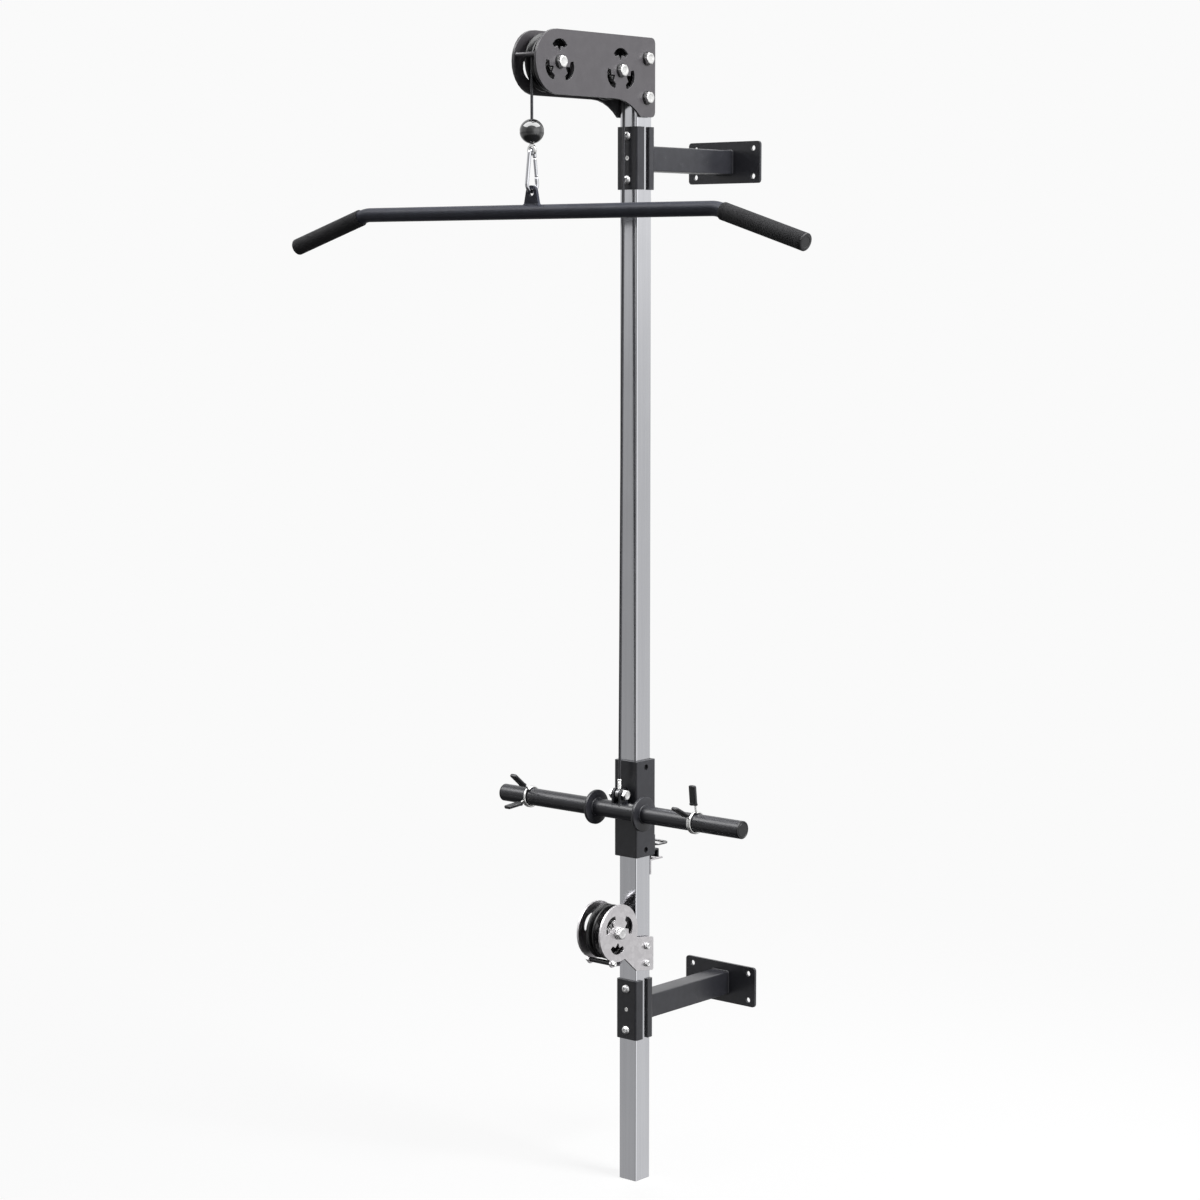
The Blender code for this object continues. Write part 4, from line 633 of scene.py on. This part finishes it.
# Pulleys
def make_pulleys():
    rope, steps = 0.0028, 8
    angles = [pi * (0.12 + 0.76 * k / steps) for k in range(steps + 1)]
    groove = [(-rope * cos(a), PITCH_RADIUS - rope * sin(a)) for a in angles]
    half = [(0.0054, 0.0490), (0.0058, 0.0494), (0.0064, 0.0495), (0.0082, 0.0495), (0.0088, 0.0492),
            (0.0090, 0.0486), (0.0090, 0.0445), (0.0087, 0.0438), (0.0068, 0.0426), (0.0064, 0.0418),
            (0.0064, 0.0222), (0.0068, 0.0212), (0.0080, 0.0196), (0.0085, 0.0190), (0.0085, 0.0133)]
    wheel = [(-x, r) for x, r in half[::-1]] + groove + half
    ring = [(0.0085, 0.0130), (0.0088, 0.0126), (0.0088, 0.0113), (0.0080, 0.0109), (0.0078, 0.0100),
            (0.0078, 0.0086), (0.0080, 0.0082), (0.0088, 0.0078), (0.0088, 0.0064), (0.0085, 0.0061)]
    bearing = [(-x, r) for x, r in ring[::-1]] + ring
    for name, centre in (("front", FRONT_AXLE), ("rear", REAR_AXLE), ("low", LOW_AXLE)):
        body = f"{name}_wheel"
        made = lathe(wheel, centre, closed=True, sides=96)
        piece(f"{name}_pulley_wheel", made, "nylon", body, [f"{name}_pulley"])
        made = lathe(bearing, centre, closed=True)
        piece(f"{name}_pulley_race", made, "bearing_steel", body, [f"{name}_pulley_bearing"])


# Cable
def make_drop(node, start, end):
    """A straight run of cable between two points, with its transform baked and no body."""
    steps = 48
    path = [start.lerp(end, k / steps) for k in range(steps + 1)]
    drop = piece(f"{node}_rope", sweep(path, CABLE_RADIUS), "cable_coating", None, [node])
    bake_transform(drop)


def make_cable():
    crown = pi / 2 - atan2(FRONT_AXLE.z - REAR_AXLE.z, REAR_AXLE.y - FRONT_AXLE.y)
    over = arc(FRONT_AXLE.yz, PITCH_RADIUS, pi, crown, 24) + arc(REAR_AXLE.yz, PITCH_RADIUS, crown, 0.0, 24)
    over = [Vector((0.0, y, z)) for y, z in over]
    piece("cable_over_wheels", sweep(over, CABLE_RADIUS), "cable_coating", "frame", ["cable_over_pulleys"])
    low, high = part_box("cable_front_drop")
    make_drop("cable_front_drop", Vector((0.0, LINE_Y, high.z)), Vector((0.0, LINE_Y, low.z)))
    low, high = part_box("cable_rear_drop")
    start = Vector((0.0, REAR_AXLE.y + PITCH_RADIUS, high.z))
    make_drop("cable_rear_drop", start, Vector((0.0, LOAD_BAR.y, low.z)))


# Ball stop, eye and carabiner
def make_ball():
    low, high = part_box("ball_stop")
    radius = (high.x - low.x) / 2
    bore, top, first, steps = 0.0029, radius * 0.9915, 0.17, 24
    rows = [(top, bore)]
    for k in range(1, steps):
        angle = first + (pi - 2 * first) * k / steps
        seam = 0.00025 if 2 * k == steps else 0.0
        rows.append((radius * cos(angle), radius * sin(angle) - seam))
    rows.append((-top, bore))
    ball = lathe(rows, BALL, Z, closed=True, sides=72)
    piece("ball_stop_round", ball, "ball_plastic", "line_end", ["ball_stop"])
    refined("cable_eye", "zinc", "swivel_eye", 0.0011)


def blunt_bar(path, radii, sides):
    """A round bar along a path: its radius, the radius at its two ends and the one beside them."""
    radius, end, beside = radii
    path = resampled(path, 0.0012)
    radii = [radius] * len(path)
    radii[0] = radii[-1] = end
    radii[1] = radii[-2] = beside
    return sweep(path, radii, sides)


def make_carabiner():
    """A pear-shaped wire that is open on one side, and the gate that closes it."""
    small, large, height = 0.0062, 0.0128, 0.070
    hinge_inset, nose_inset, hinge_gap, nose_gap = 0.0078, 0.0092, 0.0016, 0.0006
    wire_radii, gate_radii, rivet_inset = (0.0035, 0.0026, 0.0033), (0.0030, 0.0023, 0.0029), 0.0022
    lean = asin((large - small) / (height - small - large))
    side_top = Vector((small * cos(lean), height - small + small * sin(lean)))
    side_low = Vector((large * cos(lean), large + large * sin(lean)))
    along = (side_low - side_top).normalized()
    length = (side_low - side_top).length

    def on_side(distance):
        return side_top + along * distance

    def placed(spot):
        return Vector((0.0, LINE_Y + spot[0], HANG_Z + spot[1]))

    flat = [on_side(hinge_inset)] + arc((0.0, height - small), small, lean, pi - lean, 24)
    flat += arc((0.0, large), large, pi - lean, 2 * pi + lean, 40) + [on_side(length - nose_inset)]
    wire = blunt_bar([placed(spot) for spot in flat], wire_radii, 28)
    piece("carabiner_wire", wire, "chrome", "carabiner", ["carabiner_body"])
    top = placed(on_side(hinge_inset + hinge_gap))
    bottom = placed(on_side(length - nose_inset - nose_gap))
    gate = blunt_bar([top, bottom], gate_radii, 24)
    piece("carabiner_gate_rod", gate, "chrome", "gate", ["carabiner_gate"])
    rivet = [(-0.0038, 0.0006), (-0.0036, 0.0011), (-0.0031, 0.0014), (0.0031, 0.0014), (0.0036, 0.0011),
             (0.0038, 0.0006)]
    inset = (bottom - top).normalized() * rivet_inset
    for label, spot in (("hinge", top + inset), ("nose", bottom - inset)):
        piece(f"carabiner_{label}_rivet", lathe(rivet, spot, X, sides=32), "zinc", "gate")


# Lat bar
def wing_start(side):
    """Where a wing leaves the bar's straight middle, and which way it runs."""
    direction = Vector((side * cos(WING_ANGLE), 0.0, -sin(WING_ANGLE)))
    return Vector((side * LAT_HALF, LINE_Y, LAT_Z)), direction


def make_lat_tube():
    left, right = wing_start(-1), wing_start(1)
    corners = [left[0] + left[1] * WING_LENGTH, left[0], right[0], right[0] + right[1] * WING_LENGTH]
    path = rounded_path(corners, LAT_BEND, 20)
    piece("lat_bar_tube", sweep(path, LAT_RADIUS, 48), "bar_paint", "bar", ["lat_bar"], angle=60)


def make_lug():
    """The lug on the bar, with its hole and the weld around its foot."""
    top_radius, hole_radius, half_base, half_thick, sunk = 0.0121, 0.0060, 0.017, 0.003, 0.0014
    margin, weld = 0.0006, 0.0014
    hole = (0.0, LUG_HOLE_Z)
    foot = LAT_Z + LAT_RADIUS - sunk
    outline = arc(hole, top_radius, radians(10), radians(170), 30) + [(-half_base, foot), (half_base, foot)]
    lug = extruded([outline, circle(hole, hole_radius)], "Y", LINE_Y - half_thick, LINE_Y + half_thick)
    piece("lat_bar_lug", lug, "bar_paint", "bar", bevel=0.0006)
    half_weld = half_thick + margin
    crest = LAT_Z + sqrt(LAT_RADIUS**2 - half_weld**2) + 0.0002
    loop = rounded_rectangle(half_base + margin, half_weld, 0.0030, 6, (0.0, LINE_Y))
    bead("lat_bar_weld", [Vector((x, y, crest)) for x, y in loop], weld, "bar_paint", "bar")


def grip_rows(bore):
    """Rows of a ribbed foam grip: a soft rim, a collar, the ribs and a plain end."""
    outer, start = GRIP_RADIUS, WING_LENGTH - GRIP_LENGTH
    rows = [(start, bore), (start, outer - 0.0015), (start + 0.0005, outer - 0.0005)]
    rows += [(start + 0.0016, outer), (start + 0.009, outer)]
    rows += [(start + 0.0095, outer - 0.0005), (start + 0.0105, outer - 0.0005)]
    ribs, margin = 44, 0.012
    pitch = (WING_LENGTH - margin - (start + margin)) / ribs
    high, low = outer - 0.00005, outer - 0.0003
    for k in range(ribs):
        along = start + margin + pitch * k
        rows += [(along, high), (along + pitch * 0.62, high)]
        rows += [(along + pitch * 0.72, low), (along + pitch * 0.90, low)]
    rows += [(WING_LENGTH - 0.010, outer), (WING_LENGTH - 0.0008, outer), (WING_LENGTH, outer - 0.0006)]
    return rows + [(WING_LENGTH, bore)]


def make_grips():
    face = WING_LENGTH + GAP
    cap_rows = [(WING_LENGTH - 0.012, 0.0100), (face, 0.0102), (face, 0.0146), (face + 0.0004, GRIP_RADIUS),
                (face + 0.0011, GRIP_RADIUS), (face + 0.0020, 0.0143), (face + 0.0025, 0.0128),
                (face + 0.0025, 0.0092), (face + 0.0020, 0.0086), (face + 0.0020, 0.0010)]
    for name, side in (("left", -1), ("right", 1)):
        origin, direction = wing_start(side)
        grip = lathe(grip_rows(LAT_RADIUS + GAP), origin, direction, closed=True, sides=64)
        piece(f"lat_grip_{name}_ribbed", grip, "foam", "bar", [f"lat_grip_{name}"], angle=50)
        cap = lathe(cap_rows, origin, direction)
        piece(f"lat_cap_{name}_turned", cap, "nylon", "bar", [f"lat_cap_{name}"])


# Weight carriage
def make_sleeve():
    half = SLEEVE_HIGH.x
    wall, corner, through = 0.004, 0.003, 0.005
    button_inset, button_radius, lock_radius = 0.0125, 0.0052, 0.0046
    sleeve = box_tube(half, wall, corner, SLEEVE_LOW.z, SLEEVE_HIGH.z, 0.0005)
    holes = []
    for height in (SLEEVE_LOW.z + button_inset, SLEEVE_HIGH.z - button_inset):
        for side in (-1, 1):
            holes.append((X, Vector((side * half, 0.0, height)), button_radius, through))
    holes.append((Y, Vector((0.0, half, LOCK_PIN_Z)), lock_radius, through))
    sleeve = drilled(sleeve, holes)
    keep_flats(piece("sleeve_tube", sleeve, "black_paint", "carriage", ["carriage_sleeve"], angle=50))
    refined("carriage_liner", "nylon", "carriage", 0.0003)


def make_flange(name, side):
    """A flange on the load bar, welded on both faces."""
    at, reach, half = side * FLANGE_X, FLANGE_RADIUS, FLANGE_HALF
    bore, weld = LOAD_RADIUS - 0.0005, 0.0014
    rows = [(at - half, bore), (at - half, reach - 0.0008), (at - half + 0.0002, reach - 0.0003),
            (at - half + 0.0008, reach), (at + half - 0.0008, reach), (at + half - 0.0002, reach - 0.0003),
            (at + half, reach - 0.0008), (at + half, bore)]
    flange = lathe(rows, LOAD_BAR, closed=True, sides=90)
    piece(f"load_flange_{name}", flange, "black_paint", "carriage")
    for label, out in (("in", -side), ("out", side)):
        face = at + out * (half + 0.0004)
        ring = circle((LOAD_BAR.y, LOAD_BAR.z), LOAD_RADIUS + GAP)
        loop = [Vector((face, y, z)) for y, z in ring]
        bead(f"load_flange_{name}_weld_{label}", loop, weld, "black_paint", "carriage")


def make_load_cap(name, side):
    tube_end, end = LOAD_HALF - LOAD_CAP, LOAD_HALF
    rows = [(tube_end - 0.012, 0.0116), (tube_end + GAP, 0.0117), (tube_end + GAP, LOAD_RADIUS),
            (end - 0.0012, LOAD_RADIUS), (end - 0.0004, 0.0156), (end, 0.0149), (end, 0.0136),
            (end - 0.0006, 0.0131), (end - 0.0006, 0.0124), (end - 0.0001, 0.0119), (end - 0.0001, 0.0010)]
    cap = lathe([(side * along, radius) for along, radius in rows], LOAD_BAR)
    piece(f"load_cap_{name}_turned", cap, "nylon", "carriage", [f"load_cap_{name}"])


def make_ear(name, side):
    """An upright ear on the load bar that holds the cable's bolt, welded around its foot."""
    at, sunk = side * EAR_X, LOAD_RADIUS - 0.0015
    hole_radius, weld = 0.0056, 0.0012
    centre = (EAR_BOLT.y, EAR_BOLT.z)
    outline = arc(centre, EAR_RADIUS, 0.0, pi, 30)
    for k in range(13):
        across = EAR_RADIUS * (k / 6 - 1)
        outline.append((LOAD_BAR.y + across, LOAD_BAR.z + sqrt(sunk**2 - across**2)))
    ear = extruded([outline, circle(centre, hole_radius)], "X", at - EAR_HALF, at + EAR_HALF)
    piece(f"cable_ear_{name}", ear, "black_paint", "carriage", bevel=0.0005)
    loop = []
    for x, along in rounded_rectangle(EAR_HALF + 0.0006, EAR_RADIUS + 0.0004, 0.0022, 5, (at, 0.0)):
        loop.append(Vector((x, LOAD_BAR.y + along, LOAD_BAR.z + sqrt(LOAD_RADIUS**2 - along**2))))
    bead(f"cable_ear_{name}_weld", loop, weld, "black_paint", "carriage")


def make_load_bar():
    end, wall = LOAD_HALF - LOAD_CAP, 0.004
    rows = [(-end, LOAD_RADIUS - EASE), (EASE - end, LOAD_RADIUS), (end - EASE, LOAD_RADIUS),
            (end, LOAD_RADIUS - EASE), (end, LOAD_RADIUS - wall), (-end, LOAD_RADIUS - wall)]
    piece("load_bar_tube", lathe(rows, LOAD_BAR, closed=True), "black_paint", "carriage", ["load_bar"])
    for name, side in (("left", -1), ("right", 1)):
        make_flange(name, side)
        make_load_cap(name, side)
        make_ear(name, side)
    weld_half, weld_y, weld_rise, weld = 0.0245, -0.0280, 0.0088, 0.0019
    for label, up in (("above", 1), ("below", -1)):
        height = LOAD_BAR.z + up * weld_rise
        path = [Vector((x, weld_y, height)) for x in (-weld_half, weld_half)]
        bead(f"load_bar_weld_{label}", path, weld, "black_paint", "carriage", closed=False)


def make_terminal():
    """The crimped end of the cable: a ferrule with an eye that the ear bolt passes through."""
    at, radius, crimped, crimps = EAR_BOLT.z, 0.0042, 0.0036, 4
    eye_radius, eye_hole, eye_half = 0.0095, 0.0053, 0.004
    top = at + 0.0275
    rows = [(at + 0.0075, 0.0040), (at + 0.0100, radius)]
    for k in range(crimps):
        low = at + 0.0115 + 0.0036 * k
        rows += [(low, radius), (low + 0.0006, crimped), (low + 0.0022, crimped), (low + 0.0028, radius)]
    rows += [(top - 0.0006, radius), (top, 0.0038), (top, 0.0027)]
    ferrule = lathe(rows, Vector((0.0, EAR_BOLT.y, 0.0)), Z, sides=40)
    piece("cable_ferrule", ferrule, "zinc", "carriage", ["cable_terminal"])
    hole = (EAR_BOLT.y, at)
    eye = extruded([circle(hole, eye_radius, 48), circle(hole, eye_hole)], "X", -eye_half, eye_half)
    piece("cable_eyelet", eye, "zinc", "carriage", bevel=0.0010, look="dark_zinc_and_shade")


# Spring collars
def coil(centre, radius, start, turn, half_run):
    """The path of a wire wound around the load bar."""
    steps = ceil(turn / (2 * pi) * 48)
    path = []
    for k in range(steps + 1):
        angle = start + turn * k / steps
        along = half_run * (2 * k / steps - 1)
        path.append(centre + Vector((along, cos(angle) * radius, sin(angle) * radius)))
    return path


def hairpin(base, way, beside, reach, back):
    """The path of a handle's wire: out from the coil, across and some way back."""
    tip = base + way * reach
    return rounded_path([base, tip, tip + beside, tip + beside - way * back], beside.length * 0.49, 8)


def grip_rings(base, way, end, foot, half_width, half_thickness):
    """Rings of a moulded grip around a handle, from its round tip to the rim at its foot."""
    shares = ((end, 0.55), (end - 0.0004, 0.80), (end - 0.0012, 0.94), (end - 0.0026, 1.0),
              (foot + 0.0030, 1.0), (foot + 0.0028, 1.10), (foot + 0.0006, 1.10), (foot, 1.02))
    flat = way.cross(X)
    rings = []
    for along, share in shares:
        corner = half_thickness * share * 0.95
        shape = rounded_rectangle(half_width * share, half_thickness * share, corner, 8)
        rings.append([base + way * along + X * u + flat * v for u, v in shape])
    return rings


def make_collar(name, x, roots, leans):
    """A wound spring wire with two hairpin handles in plastic grips."""
    wire, pitch, rise, reach, grip, wall = 0.0021, 0.0048, 0.006, 0.041, 0.036, 0.0012
    centre = Vector((x, LOAD_BAR.y, LOAD_BAR.z))
    radius = LOAD_RADIUS + wire + GAP
    apart = 2 * wire + 0.0045
    turn = roots[1] - roots[0] + 4 * pi
    half_run = pitch * turn / (4 * pi)
    lift, end = radius + rise, reach + wire + GAP + 0.0009
    handles, grips = [], []
    for side, root, lean in zip((-1, 1), roots, leans):
        base = centre + Vector((half_run * side, cos(root) * lift, sin(root) * lift))
        way = Vector((0.0, cos(root + lean), sin(root + lean)))
        beside = X * (-side * apart)
        handles.append(hairpin(base, way, beside, reach, grip - wire))
        size = apart / 2 + wire + wall, wire + wall
        grips.append(grip_rings(base + beside / 2, way, end, end - grip, *size))
    path = handles[0][::-1] + coil(centre, radius, roots[0], turn, half_run) + handles[1]
    path = resampled(path, 0.0012)
    piece(f"{name}_wound_wire", sweep(path, wire, 16), "zinc", name, [f"{name}_spring"])
    for place, rings in zip(("low", "high"), grips):
        node = f"{name}_grip_{place}"
        piece(f"{node}_moulded", skin(rings), "foam", name, [node], angle=50, look="vinyl")


# Parking stop and lock
def make_stop():
    refined("stop_bracket", "galvanised", "frame", 0.0004)
    refined("stop_bumper", "foam", "frame", 0.0016)


def make_lock():
    """The lock behind the carriage: its bracket, a pin with a ribbed knob and the wire handle."""
    refined("latch_bracket", "black_paint", "carriage", 0.0005)
    bracket_plate, shank, knob = 0.003, 0.0040, 0.0060
    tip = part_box("lock_pin")[0].y
    face = SLEEVE_HIGH.x + GAP + bracket_plate + GAP
    end = face + 0.0055
    rows = [(tip, 0.0026), (tip + 0.0012, shank), (face, shank), (face, 0.0054), (face + 0.0006, knob)]
    for k in range(5):
        rows += [(face + 0.0010 + 0.0008 * k, knob), (face + 0.0014 + 0.0008 * k, knob - 0.0003)]
    rows += [(end - 0.0004, knob), (end, 0.0054)]
    pin = lathe(rows, Vector((0.0, 0.0, LOCK_PIN_Z)), Y, sides=40)
    piece("lock_pin_turned", pin, "zinc", "lock", ["lock_pin"])
    half_width, wire, corner = 0.0265, 0.0022, 0.006
    near, far = end - 0.003, end + 0.0265
    loop = rounded_rectangle(half_width, (far - near) / 2, corner, 10, (0.0, (near + far) / 2))
    path = resampled([Vector((x, y, LOCK_PIN_Z)) for x, y in loop], 0.0015, True)
    # The handle's dark zinc look is painted shade: the whole wire is darkened to the tone of the sleeve's
    # dark reflection in its front leg.
    piece("lock_handle", sweep(path, wire, 20, True), "zinc", "lock", angle=60, look="dark_zinc_and_shade")


# Floor, background and lamps: the plain background's level, and directions in the studio
PAPER = 0.956
PICTURE_RIGHT = (0.644, 0.765, 0.0)
CAMERA_SIDE = (0.30, -0.954, 0.0)
ACROSS_PANEL = (0.618, -0.744, -0.259)


def make_world():
    """A pale studio: camera rays see a plain background, metal sees it graded, the rest gives soft fill."""
    world = bpy.data.worlds.new("studio")
    scene.world = world
    world.use_nodes = True
    tree = world.node_tree
    tree.nodes.clear()
    way = add(tree, "ShaderNodeTexCoord").outputs["Generated"]

    def towards(direction):
        made = add(tree, "ShaderNodeVectorMath", {0: way, 1: direction}, operation="DOT_PRODUCT")
        return made.outputs["Value"]

    def spread(value, start, end, first, last, blend="SMOOTHSTEP"):
        inputs = {"Value": value, "From Min": start, "From Max": end, "To Min": first, "To Max": last}
        return add(tree, "ShaderNodeMapRange", inputs, interpolation_type=blend).outputs["Result"]

    def combined(first, second, operation):
        return add(tree, "ShaderNodeMath", {0: first, 1: second}, operation=operation).outputs[0]

    height, side = towards(Z), towards(PICTURE_RIGHT)
    # Below and above the horizon, both brighter to the right
    low = spread(side, -1.0, 1.0, 0.47, 0.80, "LINEAR")
    high = spread(side, -1.0, 1.0, 0.86, 1.22, "LINEAR")
    rise = spread(height, -0.050, 0.035, 0.0, 1.0)
    low = combined(low, spread(height, -0.30, -0.12, 1.2, 1.0, "LINEAR"), "MULTIPLY")
    level = add(tree, "ShaderNodeMix", {0: rise, 2: low, 3: high}).outputs[0]
    # Dark straight below, darker on the camera's side and brighter along X
    level = combined(level, spread(height, -0.66, -0.34, 0.10, 1.0), "MULTIPLY")
    level = combined(level, spread(towards(CAMERA_SIDE), 0.72, 0.97, 1.0, 0.45), "MULTIPLY")
    level = combined(level, spread(towards(X), 0.80, 0.97, 0.0, 0.8), "ADD")
    # A bright panel overhead
    across = add(tree, "ShaderNodeMath", {0: towards(ACROSS_PANEL)}, operation="ABSOLUTE").outputs[0]
    panel = combined(spread(across, 0.36, 0.44, 7.0, 0.0), spread(height, 0.50, 0.56, 0.0, 1.0), "MULTIPLY")
    level = combined(level, panel, "ADD")
    light = add(tree, "ShaderNodeLightPath")
    fill = add(tree, "ShaderNodeBackground", {"Color": (0.20, 0.20, 0.205, 1.0)}).outputs[0]
    shine = add(tree, "ShaderNodeBackground", {"Color": level}).outputs[0]
    plain = add(tree, "ShaderNodeBackground", {"Color": grey(PAPER)}).outputs[0]
    metal = combined(light.outputs["Is Glossy Ray"], light.outputs["Is Transmission Ray"], "MAXIMUM")
    unseen = add(tree, "ShaderNodeMixShader", {0: metal, 1: fill, 2: shine}).outputs[0]
    seen = light.outputs["Is Camera Ray"]
    shown = add(tree, "ShaderNodeMixShader", {0: seen, 1: unseen, 2: plain}).outputs[0]
    add(tree, "ShaderNodeOutputWorld", {"Surface": shown})


def make_floor():
    """A pale floor that keeps a soft shadow near the post and fades into the background."""
    mesh = bpy.data.meshes.new("floor")
    size = 40.0
    corners = [(-size, -size, 0), (size, -size, 0), (size, size, 0), (-size, size, 0)]
    mesh.from_pydata(corners, [], [(0, 1, 2, 3)])
    floor = bpy.data.objects.new("floor", mesh)
    floor.location.z = -0.0005
    floor.visible_glossy = False
    floor.visible_transmission = False
    scene.collection.objects.link(floor)
    made = bpy.data.materials.new("floor")
    made.use_nodes = True
    tree = made.node_tree
    tree.nodes.clear()
    place = add(tree, "ShaderNodeNewGeometry").outputs["Position"]
    far = add(tree, "ShaderNodeVectorMath", {0: place}, operation="LENGTH").outputs["Value"]
    fade = add(tree, "ShaderNodeMapRange", {"Value": far, "From Min": 0.6, "From Max": 2.6},
               interpolation_type="SMOOTHSTEP").outputs["Result"]
    glow = add(tree, "ShaderNodeEmission", {"Color": grey(0.845)}).outputs[0]
    matt = add(tree, "ShaderNodeBsdfDiffuse", {"Color": grey(0.15)}).outputs[0]
    near = add(tree, "ShaderNodeAddShader", {0: glow, 1: matt}).outputs[0]
    plain = add(tree, "ShaderNodeEmission", {"Color": grey(PAPER)}).outputs[0]
    shown = add(tree, "ShaderNodeMixShader", {0: fade, 1: near, 2: plain}).outputs[0]
    fill = add(tree, "ShaderNodeEmission", {"Color": grey(0.14)}).outputs[0]
    seen = add(tree, "ShaderNodeLightPath").outputs["Is Camera Ray"]
    mixed = add(tree, "ShaderNodeMixShader", {0: seen, 1: fill, 2: shown}).outputs[0]
    add(tree, "ShaderNodeOutputMaterial", {"Surface": mixed})
    mesh.materials.append(made)


def make_lamp(name, at, towards, width, height, power):
    data = bpy.data.lights.new(name, "AREA")
    data.shape = "RECTANGLE"
    data.size = width
    data.size_y = height
    data.energy = power
    lamp = bpy.data.objects.new(name, data)
    lamp.location = at
    lamp.rotation_euler = (Vector(towards) - Vector(at)).to_track_quat("-Z", "Y").to_euler()
    lamp.visible_camera = False
    lamp.visible_glossy = False
    scene.collection.objects.link(lamp)


def make_lamps():
    make_lamp("key", (3.4, 0.3, 3.0), (0.0, -0.1, 1.6), 1.6, 2.4, 185.0)
    make_lamp("top", (0.0, -0.2, 4.2), (0.0, -0.1, 1.0), 2.5, 2.0, 30.0)
    make_lamp("back", (-2.6, 2.4, 1.8), (0.0, 0.0, 1.1), 2.0, 2.4, 40.0)


make_camera()
make_metals()
make_paints()
make_plastics()
make_post()
make_brackets()
make_plates()
make_retainers()
make_fasteners()
make_pulleys()
make_cable()
make_ball()
make_carabiner()
make_lat_tube()
make_lug()
make_grips()
make_sleeve()
make_load_bar()
make_terminal()
make_collar("left_collar", -0.2155, (radians(200), radians(130)), (radians(-16), radians(11)))
make_collar("right_collar", 0.176, (radians(148), radians(102)), (radians(4), radians(-6)))
make_stop()
make_lock()
make_world()
make_floor()
make_lamps()
